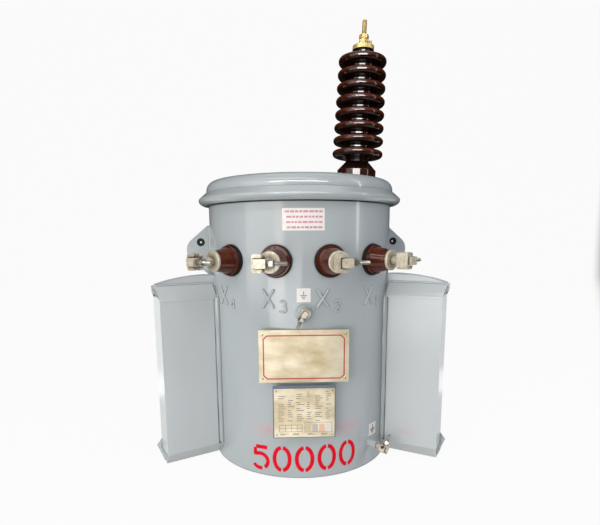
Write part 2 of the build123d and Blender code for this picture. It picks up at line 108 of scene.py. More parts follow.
def add(tree, kind, feeds=None, **settings):
    """Add one node, set its properties, and feed its inputs with values or with other nodes' outputs."""
    made = tree.nodes.new("ShaderNode" + kind)
    for name, value in settings.items():
        setattr(made, name, value)
    feed(tree, made, feeds or {})
    return made


def new_material(name):
    """A material with a bare Principled shader, ready for its pattern: its tree, its shader and itself."""
    made = bpy.data.materials.new(name)
    made.use_nodes = True
    tree = made.node_tree
    return tree, tree.nodes["Principled BSDF"], made


def dress(names, finish):
    """Give each of the named CAD pieces a finish."""
    for name in names:
        nodes[name].material_slots[0].material = finish


# %% [markdown]
# ## Paper sweep
# A white paper sweep, as product photographers use: a floor that curves up into a wall behind the unit. It is
# white in a wedge that opens towards the back, and falls off to plain paper outside it, so that the glaze and
# the paint mirror a dim room at their edges and not a bright floor. A flat floor and a wall would show a line
# where they meet, which the curve avoids.

# %% White paper
WEDGE_OPENING = 0.66
WEDGE_HALF_WIDTH = 0.92
WEDGE_SOFT_EDGE = 0.3
PAPER_WHITE = 0.95

tree, shader, paper = new_material("white_paper")
spot = add(tree, "TexCoord").outputs["Object"]
rays = add(tree, "LightPath")
seen = rays.outputs["Is Camera Ray"]
for kind in ("Is Glossy Ray", "Is Transmission Ray"):
    seen = add(tree, "Math", {0: seen, 1: rays.outputs[kind]}, operation="MAXIMUM").outputs[0]
parts = add(tree, "SeparateXYZ", {"Vector": spot})
aside = add(tree, "Math", {0: parts.outputs[0]}, operation="ABSOLUTE")
wedge = {0: parts.outputs[1], 1: WEDGE_OPENING, 2: WEDGE_HALF_WIDTH}
opening = add(tree, "Math", wedge, operation="MULTIPLY_ADD")
inside = add(tree, "Math", {0: opening.outputs[0], 1: aside.outputs[0]}, operation="SUBTRACT")
edge = {"Value": inside.outputs[0], "From Min": -WEDGE_SOFT_EDGE, "From Max": 0.0, "To Max": PAPER_WHITE}
pool = add(tree, "MapRange", edge, interpolation_type="SMOOTHSTEP")
glow = add(tree, "Math", {0: seen, 1: pool.outputs[0]}, operation="MULTIPLY")
fibre = add(tree, "TexNoise", {"Vector": spot, "Scale": 900.0, "Detail": 2.0})
fibre_bump = add(tree, "Bump", {"Height": fibre.outputs["Fac"], "Strength": 0.05, "Distance": 0.0003})
plain = {"Base Color": linear("#C8C8C6"), "Roughness": 0.9, "Specular IOR Level": 0.0}
feed(tree, shader, {**plain, "Normal": fibre_bump.outputs["Normal"]})
white = add(tree, "Emission", {"Color": (1, 1, 1, 1), "Strength": 1.0})
mix = add(tree, "MixShader", {0: glow.outputs[0], 1: shader.outputs[0], 2: white.outputs[0]})
feed(tree, tree.nodes["Material Output"], {"Surface": mix.outputs[0]})
print("paper with", len(tree.nodes), "nodes")

# %% Sweep
SWEEP_HALF_WIDTH = 9.0
SWEEP_FRONT = -7.0
SWEEP_BACK = 5.0
SWEEP_BEND = 2.0
SWEEP_TOP = 7.0


def sweep_points(columns=3, bend_steps=24):
    """A flat floor, a quarter circle and a wall: the profile runs back and up, and is carried sideways."""
    bend = np.linspace(-pi / 2, 0, bend_steps)
    depth = np.concatenate([[SWEEP_FRONT], SWEEP_BACK + SWEEP_BEND * np.cos(bend), [SWEEP_BACK + SWEEP_BEND]])
    height = np.concatenate([[0], SWEEP_BEND + SWEEP_BEND * np.sin(bend), [SWEEP_TOP]])
    across = np.linspace(-SWEEP_HALF_WIDTH, SWEEP_HALF_WIDTH, columns)
    return np.stack(np.broadcast_arrays(across, depth[:, None], height[:, None]), axis=-1)


def quads(rows, columns, start=0):
    """The corner numbers of the faces between neighbouring rows and columns of a grid of points."""
    corner = start + np.arange(rows * columns).reshape(rows, columns)
    ring = [corner[:-1, :-1], corner[:-1, 1:], corner[1:, 1:], corner[1:, :-1]]
    return np.stack(ring, axis=-1).reshape(-1, 4)


def meshed(name, points, faces, material):
    """An object at the origin, whose mesh takes the points, the faces between them and one material."""
    mesh = bpy.data.meshes.new(name)
    mesh.from_pydata(points.reshape(-1, 3).tolist(), [], faces.tolist())
    mesh.materials.append(material)
    made = bpy.data.objects.new(name, mesh)
    bpy.context.scene.collection.objects.link(made)
    return made


grid = sweep_points()
sweep = meshed("paper_sweep", grid, quads(*grid.shape[:2]), paper)
sweep.data.shade_smooth()
print("sweep of", len(sweep.data.polygons), "faces")

# %% [markdown]
# ## Lamps
# The light is a large soft window low on the left, a weaker one on the right, a thin strip overhead, a tall
# warm panel whose mirror image is the pale stripe down the tank, and a low fill in front. Gloss paint also
# mirrors the room. Bright walls would do that, but they would light the tank flatly, so the lamps named gleam
# show in reflections only: on the lid, along the band, down the right side and on the radiators' ends. The
# right window is the other way round and isn't mirrored. The camera sees none of the lamps.


# %% Lamps and room light
def window(name, place, target, size, watts, colour="#FFFFFF", gleam=False):
    """A rectangular soft box at a place, turned to face a target; a gleam shows in reflections only."""
    lamp = bpy.data.lights.new(name, "AREA")
    lamp.shape = "RECTANGLE"
    lamp.size, lamp.size_y = size
    lamp.energy = watts
    lamp.color = linear(colour)[:3]
    made = bpy.data.objects.new(name, lamp)
    bpy.context.scene.collection.objects.link(made)
    made.location = place
    made.rotation_euler = (Vector(target) - Vector(place)).to_track_quat("-Z", "Y").to_euler()
    made.visible_camera = False
    made.visible_diffuse = not gleam
    return made


window("left_window", (-2.3, -2.4, 1.0), (0, 0, 0.5), (3.0, 2.6), 54, "#FFFEFC")
side_light = window("right_window", (2.3, -0.8, 1.3), (0, 0, 0.6), (0.9, 1.5), 20, "#F8FAFF")
side_light.visible_glossy = False
window("overhead_strip", (-0.35, -1.3, 1.95), (0.1, 0, 0.8), (2.0, 0.08), 9)
window("warm_panel", (-0.95, -2.1, 0.6), (0, 0, 0.45), (0.34, 1.5), 3.2, "#FFDCA6")
low_fill = window("low_fill", (-0.55, -1.65, 0.2), (0, 0, 0.1), (1.2, 0.6), 9, "#F6FAFF")
window("gleam_above", (0, 0.05, 2.2), (0, 0, 0.7), (1.4, 0.5), 2.4, gleam=True)
window("gleam_brow", (-0.1, -1.5, 1.17), (0, 0, 0.7), (1.9, 0.12), 13, gleam=True)
window("gleam_right", (0.878, -0.428, 0.95), (0, 0, 0.7), (0.05, 0.9), 1.0, gleam=True)
window("gleam_left_end", (-0.75, 0.24, 0.26), (-0.337, -0.19, 0.26), (0.3, 0.52), 0.7, gleam=True)
window("gleam_right_end", (0.72, 0.27, 0.26), (0.337, -0.19, 0.26), (0.3, 0.52), 0.5, gleam=True)

ROOM_LOW = 0.19
ROOM_HIGH = 0.46
world = bpy.data.worlds.new("room")
bpy.context.scene.world = world
world.use_nodes = True
tree = world.node_tree
sky = add(tree, "TexCoord")
up = add(tree, "SeparateXYZ", {"Vector": sky.outputs["Generated"]})
climb = {"Value": up.outputs[2], "From Min": -0.1, "From Max": 0.9, "To Min": ROOM_LOW, "To Max": ROOM_HIGH}
strength = add(tree, "MapRange", climb)
feed(tree, tree.nodes["Background"], {"Strength": strength.outputs[0], "Color": (1, 1, 1, 1)})
bpy.context.scene.view_settings.view_transform = "Standard"
print("five soft boxes, five gleams and a dim room")

# %% [markdown]
# ## Black cards
# Glossy things on white paper lose their edges, because at a grazing angle they mirror the paper.
# Photographers stand black cards round them, so that each edge gets a dark line. One card bends round the
# back like half a drum and one lies in front of the picture. They show in reflections only.


# %% Cards
def card(name, grid):
    """A black card over a grid of points, which only mirror-like reflections see."""
    made = meshed(name, grid, quads(*grid.shape[:2]), black_card)
    made.visible_camera = made.visible_diffuse = made.visible_shadow = made.visible_transmission = False


tree, shader, black_card = new_material("black_card")
feed(tree, shader, {"Base Color": linear("#101010"), "Roughness": 0.95})
CARD_TOP = 2.4
CARD_REACH = 1.05
CARD_HALF_WIDTH = 4
CARD_LIFT = 0.003
bend = np.radians(np.linspace(75, 285, 43))
foot = np.stack([CARD_REACH * np.sin(bend), -CARD_REACH * np.cos(bend), 0 * bend], axis=-1)
card("black_card_back", np.stack([foot, foot + (0, 0, CARD_TOP)]))
lying = [[(x, y, CARD_LIFT) for x in (-CARD_HALF_WIDTH, CARD_HALF_WIDTH)] for y in (-0.78, -5)]
card("black_card_front", np.array(lying))
print("two black cards")

# %% [markdown]
# ## Grey tank enamel
# The tank, lid, radiators and brackets are mild steel, sprayed with a light grey gloss enamel. A sprayed coat
# levels into a faint orange peel, follows every ripple of the rolled sheet, and takes up a little dust. A
# mixed base colour gives the cloudiness, and two bumps at two real sizes bend the reflections: the peel at
# about 7 mm, drawn coarser than it is so that it shows, and the sheet's waviness at about 60 mm, which the
# rolls leave three times as long upright. Red from the stencil has drifted on to the paint in three places.
# The colour darkens in the seams that ambient occlusion finds, as painted shade. The radiators were sprayed
# apart from the tank and came out a shade lighter and a little less glossy, so the coat is a function.

# %% Enamel
CLOUD_SIZE = 0.16
SPECK_SIZE = 0.012
PEEL_SIZE = 0.007
RIPPLE_SIZE = 0.06
SEAM_REACH = 0.007
DUST = linear("#C0C1BC")
DRIFTED_RED = linear("#E86A78")
SEAM_SHADE = linear("#5E625F")
# Each drift of red: its middle, how far it reaches, and its strength in the middle.
DRIFTS = (
    ((-0.0837, -0.2249, 0.118), 0.06, 0.5),
    ((0.0957, -0.2201, 0.118), 0.07, 0.42),
    ((0.265, -0.15, 0.075), 0.03, 0.3),
)
DRIFT_FLATNESS = (1.0, 1.0, 2.6)


def enamel_coat(name, deep, light, rough):
    """Grey gloss enamel: a cloudy base, dust, drifted red and painted shade in the seams, over peel and
    ripples.
    """
    tree, shader, made = new_material(name)
    spot = add(tree, "TexCoord").outputs["Object"]
    cloud = add(tree, "TexNoise", {"Vector": spot, "Scale": 1 / CLOUD_SIZE, "Detail": 4.0, "Roughness": 0.6})
    speck = add(tree, "TexNoise", {"Vector": spot, "Scale": 1 / SPECK_SIZE, "Detail": 3.0}).outputs["Fac"]
    tone = add(tree, "Mix", {0: cloud.outputs["Fac"], 6: linear(deep), 7: linear(light)}, data_type="RGBA")
    dust = add(tree, "MapRange", {"Value": speck, "From Min": 0.6, "From Max": 0.85, "To Max": 0.2})
    coat = add(tree, "Mix", {0: dust.outputs[0], 6: tone.outputs[2], 7: DUST}, data_type="RGBA")
    for middle, reach, most in DRIFTS:
        away = add(tree, "VectorMath", {0: spot, 1: middle}, operation="SUBTRACT")
        flat = add(tree, "VectorMath", {0: away.outputs[0], 1: DRIFT_FLATNESS}, operation="MULTIPLY")
        far = add(tree, "VectorMath", {0: flat.outputs[0]}, operation="LENGTH").outputs["Value"]
        haze = add(tree, "MapRange", {"Value": far, "From Max": reach, "To Min": most, "To Max": 0.0})
        drift = add(tree, "Math", {0: haze.outputs[0], 1: speck}, operation="MULTIPLY")
        coat = add(tree, "Mix", {0: drift.outputs[0], 6: coat.outputs[2], 7: DRIFTED_RED}, data_type="RGBA")
    # Painted shade: the coat darkens in the seams and corners that ambient occlusion finds.
    open_sky = add(tree, "AmbientOcclusion", {"Distance": SEAM_REACH}, samples=6).outputs["AO"]
    seam = {"Value": open_sky, "From Min": 0.3, "From Max": 0.85, "To Min": 0.7, "To Max": 0.0}
    painted_shade = add(tree, "MapRange", seam)
    coat = add(tree, "Mix", {0: painted_shade.outputs[0], 6: coat.outputs[2], 7: SEAM_SHADE}, data_type="RGBA")
    gloss = add(tree, "MapRange", {"Value": cloud.outputs["Fac"], "To Min": rough[0], "To Max": rough[1]})
    peel = add(tree, "TexNoise", {"Vector": spot, "Scale": 1 / PEEL_SIZE, "Detail": 1.0})
    peel_bump = add(tree, "Bump", {"Height": peel.outputs["Fac"], "Strength": 0.06, "Distance": 0.0006})
    upright = add(tree, "Mapping", {"Vector": spot, "Scale": (1.0, 1.0, 0.3)})
    ripple = add(tree, "TexNoise", {"Vector": upright.outputs[0], "Scale": 1 / RIPPLE_SIZE, "Detail": 1.0})
    waves = {"Height": ripple.outputs["Fac"], "Strength": 0.3, "Distance": 0.003}
    ripple_bump = add(tree, "Bump", {**waves, "Normal": peel_bump.outputs["Normal"]})
    finish = {"Base Color": coat.outputs[2], "Roughness": gloss.outputs[0], "IOR": 1.5}
    feed(tree, shader, {**finish, "Normal": ripple_bump.outputs["Normal"]})
    return made


enamel = enamel_coat("grey_gloss_enamel", "#A4ACAF", "#ADB3B6", (0.09, 0.17))
radiator_enamel = enamel_coat("radiator_gloss_enamel", "#BCC2C5", "#C4C8CB", (0.19, 0.26))
print("enamel with", len(enamel.node_tree.nodes), "nodes")

# %% Paint the steelwork
STEELWORK = ("tank", "lid", "rim", "radiator", "lifting", "upper_pole", "lower_pole")
EARTH_STEEL = ("low_earth_boss", "front_earth_pad")
painted = [name for name in nodes if name.startswith(STEELWORK + EARTH_STEEL)]
painted += ["name_plate_bracket", "rating_plate_bracket"]
dress(painted, enamel)
dress(("radiator_left", "radiator_right"), radiator_enamel)
print("painted", len(painted), "pieces")

# %% [markdown]
# ## Brown glaze
# The bushings are wet-process porcelain under a dark brown glaze. The glaze is a clear coloured glass: it
# runs thin on a raised rim, where the brown turns red, and pools dark in the hollows between the sheds, which
# are kept darker still as painted shade; the undersides, which face down, are darkened as painted shade too.
# The distance from the high-voltage bushing's axis tells rim from hollow, so the tree moves its coordinates
# on to that axis, which the record's high-voltage terminal gives. The small cones lie far from that axis, and
# there the undersides keep their brown.

# %% Glaze
HV_TOP = np.array(mounts["hv_terminal"]["pos_m"])
HV_AXIS = np.array(mounts["hv_terminal"]["axis"])
HV_LEAN = float(np.arctan2(HV_AXIS[0], HV_AXIS[2]))
MOTTLE_SIZE = 0.018
RUN_SIZE = 0.03
tree, shader, glaze = new_material("brown_glazed_porcelain")
where = add(tree, "TexCoord")
spot = where.outputs["Object"]
on_axis = {"Vector": spot, "Location": HV_TOP, "Rotation": (0, HV_LEAN, 0)}
stem = add(tree, "Mapping", on_axis, vector_type="TEXTURE")
flat = add(tree, "VectorMath", {0: stem.outputs[0], 1: (1, 1, 0)}, operation="MULTIPLY")
reach = add(tree, "VectorMath", {0: flat.outputs[0]}, operation="LENGTH").outputs["Value"]
# Near the axis, in the hollows between the sheds, the colour stays dark: partly glaze pooled thick, partly
# painted shade.
rim = add(tree, "MapRange", {"Value": reach, "From Min": 0.044, "From Max": 0.064})
mottle = add(tree, "TexNoise", {"Vector": spot, "Scale": 1 / MOTTLE_SIZE, "Detail": 5.0, "Roughness": 0.65})
thin_glaze_and_shade = add(tree, "Math", {0: rim.outputs[0], 1: mottle.outputs["Fac"]}, operation="MULTIPLY")
# Painted shade: the undersides of the sheds, which face down, take the dark brown in the colour itself.
upward = add(tree, "SeparateXYZ", {"Vector": where.outputs["Normal"]}).outputs[2]
underside_shade = add(tree, "MapRange", {"Value": upward, "From Min": -0.4, "From Max": 0.15, "To Min": 0.08})
far_off = add(tree, "MapRange", {"Value": reach, "From Min": 0.08, "From Max": 0.1})
underside_shade = add(tree, "Math", {0: underside_shade.outputs[0], 1: far_off.outputs[0]}, operation="MAXIMUM")
thin_glaze_and_shade = add(tree, "Math", {0: thin_glaze_and_shade.outputs[0], 1: underside_shade.outputs[0]}, operation="MULTIPLY")
brown = add(tree, "Mix", {0: thin_glaze_and_shade.outputs[0], 6: linear("#1A0A05"), 7: linear("#743018")}, data_type="RGBA")
run = add(tree, "TexNoise", {"Vector": spot, "Scale": 1 / RUN_SIZE, "Detail": 2.0})
run_bump = add(tree, "Bump", {"Height": run.outputs["Fac"], "Strength": 0.1, "Distance": 0.002})
glass = {"Roughness": 0.06, "IOR": 1.5, "Specular IOR Level": 0.42}
feed(tree, shader, {**glass, "Base Color": brown.outputs[2], "Normal": run_bump.outputs["Normal"]})
porcelains = [name for name in nodes if "bushing" in name]
dress(porcelains, glaze)
print("glazed", len(porcelains), "porcelains")

# %% [markdown]
# ## Light on the glaze
# Each shed mirrors the front of the room as one white patch. A strong lamp in front gives that, but it would
# drown the paint, and a low lamp would light the undersides that should stay dark. Light linking gives a lamp
# its own list of pieces: one gleam reaches the porcelain alone, and the low fill leaves the porcelain out.

# %% Light linking
flash = window("gleam_front", (-0.08, -1.55, 1.25), (0.16, 0, 0.9), (1.2, 0.8), 75, gleam=True)
glazed = bpy.data.collections.new("glazed_pieces")
shaded = bpy.data.collections.new("pieces_without_low_fill")


def link_porcelain(piece):
    """Put a porcelain on both lists: the flash reaches it, and the low fill leaves it out."""
    glazed.objects.link(piece)
    shaded.objects.link(piece)
    shaded.collection_objects[-1].light_linking.link_state = "EXCLUDE"


for name in porcelains:
    link_porcelain(nodes[name])
flash.light_linking.receiver_collection = glazed
low_fill.light_linking.receiver_collection = shaded

# %% [markdown]
# ## Plain finishes
# The other finishes share one recipe: two tones mixed by cloudy noise at the finish's own grain size, a
# roughness that follows the same grain, and a shallow bump from it. Bare metals are metallic, a dull coat or
# a tarnish makes them less so, and the rest aren't. The gaskets are pressed nitrile rubber, nearly black; the
# clamps are cast bronze under a tin coat, pale and soft; nuts and studs are zinc plated and brighter; the
# high-voltage top is turned brass; inks and vinyl finish the plates and stickers, and a dark slate colour,
# which is painted shade, the rating plate's carrier. Tin, zinc and brass darken in the corners that ambient
# occlusion finds, as painted shade. A weaker gloss keeps the stencil paint and the rubber from greying.

# %% Two-tone recipe
CORNER_SHADE_REACH = 0.016


def two_tone(name, first, second, grain_mm, rough, metallic=0.0, relief=0.15, corner_shade=None, gloss=0.5):
    """A finish of two tones: noise of the given grain mixes them, and steers roughness and a shallow bump."""
    tree, shader, made = new_material(name)
    spot = add(tree, "TexCoord").outputs["Object"]
    grain = add(tree, "TexNoise", {"Vector": spot, "Scale": 1000 / grain_mm, "Detail": 4.0}).outputs["Fac"]
    share = add(tree, "MapRange", {"Value": grain, "From Min": 0.3, "From Max": 0.7})
    tone = add(tree, "Mix", {0: share.outputs[0], 6: linear(first), 7: linear(second)}, data_type="RGBA")
    # Painted shade: given a colour for the corners, the tone darkens to it where ambient occlusion finds a
    # corner.
    if corner_shade:
        open_sky = add(tree, "AmbientOcclusion", {"Distance": CORNER_SHADE_REACH}, samples=8).outputs["AO"]
        corner = {"Value": open_sky, "From Min": 0.4, "From Max": 0.98, "To Min": 0.95, "To Max": 0.0}
        painted_shade = add(tree, "MapRange", corner)
        tone = add(tree, "Mix", {0: painted_shade.outputs[0], 6: tone.outputs[2], 7: linear(corner_shade)}, data_type="RGBA")
    spread = add(tree, "MapRange", {"Value": grain, "To Min": rough[0], "To Max": rough[1]})
    bump = add(tree, "Bump", {"Height": grain, "Strength": relief, "Distance": grain_mm / 5000})
    feed(tree, shader, {"Base Color": tone.outputs[2], "Roughness": spread.outputs[0]})
    feed(tree, shader, {"Normal": bump.outputs["Normal"], "Metallic": metallic, "Specular IOR Level": gloss})
    return made


rubber = two_tone("nitrile_rubber", "#0C0C0D", "#1C1C1D", 10, (0.45, 0.65), gloss=0.25)
tin = two_tone("tinned_cast_bronze", "#E0D7C4", "#BDB19A", 7, (0.36, 0.52), 0.35, 0.3, corner_shade="#383124")
zinc = two_tone("zinc_plate", "#D2CEC6", "#A19D95", 6, (0.22, 0.4), 1.0, 0.06, corner_shade="#35312B")
brass = two_tone("turned_brass", "#F4DE9C", "#E2C477", 12, (0.22, 0.38), 0.5, 0.06, corner_shade="#5A4218")
red_paint = two_tone("red_stencil_paint", "#E20A26", "#CC0820", 9, (0.5, 0.7), gloss=0.12)
red_ink = two_tone("red_plate_ink", "#BE4448", "#AA3A40", 5, (0.3, 0.45), relief=0.05)
pink_ink = two_tone("faded_red_ink", "#D08C94", "#C67A84", 5, (0.4, 0.55), relief=0.05)
dark_ink = two_tone("dark_plate_ink", "#8C8074", "#6E6660", 4, (0.4, 0.55), relief=0.05)
vinyl = two_tone("white_vinyl", "#E6E3E1", "#DBD9D8", 14, (0.42, 0.55), relief=0.06)
faded_ink = two_tone("faded_sticker_ink", "#9C8C90", "#857579", 5, (0.4, 0.55), relief=0.05)
black_ink = two_tone("black_sticker_ink", "#2B2B30", "#3A3A40", 5, (0.4, 0.55), relief=0.05)
shaded_flange_slate = two_tone("slate_for_shaded_flange", "#586676", "#6A7684", 8, (0.3, 0.45))
rivet_steel = two_tone("rivet_steel", "#C9C4B8", "#9E988C", 4, (0.2, 0.35), metallic=1.0)

# A later word wins: a clamp's bolt is zinc, and the gasket under the cap is rubber.
FINISH_OF = {"hv_cap": brass, "hv_nut": brass, "hv_stud": brass, "gasket": rubber, "clamp": tin, "bolt": zinc}
for word, finish in FINISH_OF.items():
    dress([name for name in nodes if word in name], finish)
print("finishes on", sum(any(word in name for word in FINISH_OF) for name in nodes), "small pieces")

# %% [markdown]
# ## Plate metal
# Both plates are thin sheets of brushed, pale gold stainless steel. The brushing runs along the plate, so the
# noise is stretched a hundred times along X. Larger cloudy patches of lighter and darker gold are a painted
# sheen, the room mirrored in the metal, and the olive towards the plates' right ends is a painted reflection.

# %% Brushed plate
SHEEN_SIZE = 0.06
tree, shader, plate_metal = new_material("brushed_gold_steel")
spot = add(tree, "TexCoord").outputs["Object"]
lines = add(tree, "Mapping", {"Vector": spot, "Scale": (8.0, 1.0, 900.0)})
brushing = add(tree, "TexNoise", {"Vector": lines.outputs[0], "Scale": 1.0, "Detail": 3.0}).outputs["Fac"]
wide = add(tree, "Mapping", {"Vector": spot, "Scale": (1.0, 1.0, 1.8)})
# Painted sheen: lighter and darker patches of gold stand for the room mirrored in the metal.
sheen_patches = add(tree, "TexNoise", {"Vector": wide.outputs[0], "Scale": 1 / SHEEN_SIZE, "Detail": 3.0})
sheen = sheen_patches.outputs["Fac"]
sheen_share = add(tree, "MapRange", {"Value": sheen, "From Min": 0.3, "From Max": 0.7})
gilt = add(tree, "Mix", {0: sheen_share.outputs[0], 6: linear("#C8B48A"), 7: linear("#F4E9D0")}, data_type="RGBA")
# Painted reflection: the plates turn olive towards their right ends, where the metal mirrors a darker part of
# the room.
along_plate = add(tree, "SeparateXYZ", {"Vector": spot}).outputs[0]
end = add(tree, "MapRange", {"Value": along_plate, "From Min": 0.03, "From Max": 0.11, "To Max": 0.75})
olive_reflection = add(tree, "Math", {0: end.outputs[0], 1: sheen}, operation="MULTIPLY")
gilt = add(tree, "Mix", {0: olive_reflection.outputs[0], 6: gilt.outputs[2], 7: linear("#A8A592")}, data_type="RGBA")
rub = add(tree, "MapRange", {"Value": brushing, "To Min": 0.3, "To Max": 0.5})
rub_bump = add(tree, "Bump", {"Height": brushing, "Strength": 0.06, "Distance": 0.0002})
feed(tree, shader, {"Base Color": gilt.outputs[2], "Roughness": rub.outputs[0], "Metallic": 0.35})
feed(tree, shader, {"Normal": rub_bump.outputs["Normal"]})
dress(("name_plate", "rating_plate"), plate_metal)
print("brushed metal on two plates")

# %% [markdown]
# ## Surfaces from grids
# Every new piece is one or more grids of points in millimetres. Neighbouring points become faces, points
# that fall together are welded, which closes seams and poles, and the faces are turned outwards. A form that
# a lathe could make is a stack of rings; a thin sheet is a front, a back and the strips between their edges.

# %% Mesh from grids
MM = 0.001
WELD_DISTANCE = 2e-6
SLIVER = 1e-7


def shells(name, grids, material, sharp=35):
    """One piece from grids of points: faces between neighbours, doubles welded, faces turned outwards."""
    points = np.concatenate([grid.reshape(-1, 3) for grid in grids]) * MM
    starts = np.cumsum([0] + [grid.shape[0] * grid.shape[1] for grid in grids])
    faces = np.concatenate([quads(*grid.shape[:2], start) for grid, start in zip(grids, starts)])
    made = meshed(name, points, faces, material)
    work = bmesh.new()
    work.from_mesh(made.data)
    bmesh.ops.remove_doubles(work, verts=work.verts, dist=WELD_DISTANCE)
    bmesh.ops.dissolve_degenerate(work, edges=work.edges, dist=SLIVER)
    bmesh.ops.recalc_face_normals(work, faces=work.faces)
    work.to_mesh(made.data)
    work.free()
    made.data.shade_smooth()
    made.data.set_sharp_from_angle(angle=radians(sharp))
    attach(made, "root")
    return made


def slab(front, back):
    """The grids of a closed sheet: its front, its back and the four strips that join their edges."""
    ends = [np.stack([front[i], back[i]]) for i in (0, -1)]
    sides = [np.stack([front[:, i], back[:, i]]) for i in (0, -1)]
    return [front, back, *ends, *sides]


RING = np.linspace(0, 2 * pi, 49)


def turned(place, along, radius, ring=RING):
    """A stack of rings: each at a distance along the axis, with a radius that may vary round the ring."""
    origin, axis, side = (np.asarray(part, float) for part in place)
    spokes = np.cos(ring)[:, None] * side + np.sin(ring)[:, None] * np.cross(axis, side)
    radius = np.asarray(radius, float).reshape(len(along), -1)
    return origin + np.asarray(along)[:, None, None] * axis + radius[:, :, None] * spokes


# %% [markdown]
# ## Clamping band
# The band that clamps the lid is rolled from sheet: a cone runs down and out to a narrow nose, the sheet
# turns under, and a short lip hangs below. It could be cut from the CAD ring, but its crisp nose is what
# catches the light, so it is turned anew from a profile: straight runs, sampled finely and softened by a
# running mean, as a roller softens every bend. A thin dark rubber ring under the lip is a painted shadow: it
# draws the shade in the gap between the band and the wall as a dark line.


# %% Profiles
def dense(points, step=0.9):
    """A polyline with points added, at about one per step of its length."""
    points = np.asarray(points, float)
    length = np.concatenate([[0], np.cumsum(np.linalg.norm(np.diff(points, axis=0), axis=1))])
    along = np.linspace(0, length[-1], int(length[-1] / step) + 3)
    return np.stack([np.interp(along, length, column) for column in points.T], axis=-1)


def softened(points, step, reach):
    """A polyline with its bends rounded: a running mean over its points, with both ends kept."""
    fine = dense(points, step)
    half = int(reach / step)
    weights = np.ones(2 * half + 1) / (2 * half + 1)
    padded = np.concatenate([np.repeat(fine[:1], half, 0), fine, np.repeat(fine[-1:], half, 0)])
    return np.stack([np.convolve(column, weights, "valid") for column in padded.T], axis=-1)


# %% Band and shadow ring
TANK_AXIS = ((0, 0, 0), (0, 0, 1), (1, 0, 0))
BAND_TOP = [(245.3, 687.4), (249, 687), (262.8, 674.6), (264.9, 672.4), (265.5, 668.8), (264.4, 664.8)]
BAND_UNDER = [(260.6, 660.6), (255.5, 657.8), (250, 657), (240.3, 657)]
BAND_INSIDE = [(240.3, 675.8), (245.3, 676.2), (245.3, 687.4)]
SHADOW_RING_PROFILE = np.array([(240.2, 656.9), (242.6, 656.9), (242.8, 656), (242.2, 655), (240.2, 654.8)])
profile = np.concatenate([softened(BAND_TOP + BAND_UNDER, 0.5, 1.2), BAND_INSIDE])
fine_ring = np.linspace(0, 2 * pi, 217)
band_grid = turned(TANK_AXIS, profile[:, 1], profile[:, 0], fine_ring)
band = shells("clamping_band", [band_grid], enamel, sharp=50)
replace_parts(band, "rim_band")
# Painted shadow: a dark rubber ring under the band's lip stands for the shade in the gap between band and
# wall.
shadow_ring_grid = turned(TANK_AXIS, SHADOW_RING_PROFILE[:, 1], SHADOW_RING_PROFILE[:, 0], fine_ring)
shells("band_shadow_ring", [shadow_ring_grid], rubber, sharp=50)
print("band of", len(band.data.polygons), "faces, widest", round(float(profile[:, 0].max()), 1), "mm")

# %% [markdown]
# ## High-voltage porcelain
# The tall bushing is turned from one clay blank: a foot, a waist, eight sheds on a straight core, and a
# collar for the cap. A shed has a rounded rim, a nearly flat underside and a top that slopes to shed rain.
# The core shows between the sheds and mirrors the front lamp as one small spot in each gap. The profile is
# one polyline, with the shed's own points repeated up the core, and a running mean rounds it as glaze does.

# %% Porcelain
SHED_PITCH = 32.5
FIRST_SHED = 61.0
SHED_RIMS = np.linspace(66.3, 61.5, 8)
CORE = 37.0
HV_NUT_TOP = 354.75
HV_TERMINAL_LENGTH = 34.0
HV_SIDE = np.array([HV_AXIS[2], 0, -HV_AXIS[0]])
SHED_REACH = np.array([0, 0.05, 0.2, 0.68, 0.86, 0.97, 1.0, 0.975, 0.88, 0.68, 0.2, 0.05, 0])
SHED_RISE = np.array([-13, -11.6, -10.4, -8.9, -7.0, -3.2, 0.6, 4.4, 7.6, 9.4, 12.2, 13.4, 15])
FOOT = [(0, 0), (50.6, 0), (51, 0.8), (51, 19.4), (50.4, 20.6), (30, 42.4), (30, 44.5)]
sheds = [
    (CORE + reach * (rim - CORE), FIRST_SHED + SHED_PITCH * number + rise)
    for number, rim in enumerate(SHED_RIMS)
    for reach, rise in zip(SHED_REACH, SHED_RISE)
]
collar_top = FIRST_SHED + SHED_PITCH * 7.5 + 10
crown = [(23, collar_top - 9.6), (23, collar_top - 0.6), (22.4, collar_top), (0, collar_top)]
profile = softened(FOOT + sheds + crown, 0.7, 1.3)
body = HV_TOP / MM - (HV_TERMINAL_LENGTH / 2 + HV_NUT_TOP) * HV_AXIS
porcelain_ring = np.linspace(0, 2 * pi, 97)
stack = turned((body, HV_AXIS, HV_SIDE), profile[:, 1], profile[:, 0], porcelain_ring)
porcelain = shells("high_voltage_porcelain", [stack], glaze, sharp=70)
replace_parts(porcelain, "hv_bushing")
link_porcelain(porcelain)
print("porcelain of", len(porcelain.data.polygons), "faces")

# %% [markdown]
# ## Bolts, nuts and studs
# The clamps close on a zinc-plated stud with a washer and a hexagon nut, and the high-voltage top is a brass
# stud with two nuts. A nut is a hexagon whose corners a cone has turned down; a thread is a radius that dips
# once per pitch and moves on with the angle, which is a helix. The pitch is drawn near 2.5 mm, coarser than
# the real one, so that it shows.


# %% Nut, washer and thread
def nut(place, start, height, width):
    """A hexagon nut: the hexagon's radius at each angle, cut by a cone at both faces, closed at the axis."""
    along = np.linspace(0, height, 13)
    hexagon = width / 2 / np.cos((RING + pi / 6) % (pi / 3) - pi / 6)
    cone = 0.47 * width + 1.7 * np.minimum(along, height - along)
    radius = np.minimum(hexagon, cone[:, None])
    closed = np.zeros((1, len(RING)))
    radius = np.concatenate([closed, radius, closed])
    return turned(place, start + np.concatenate([[0], along, [height]]), radius)


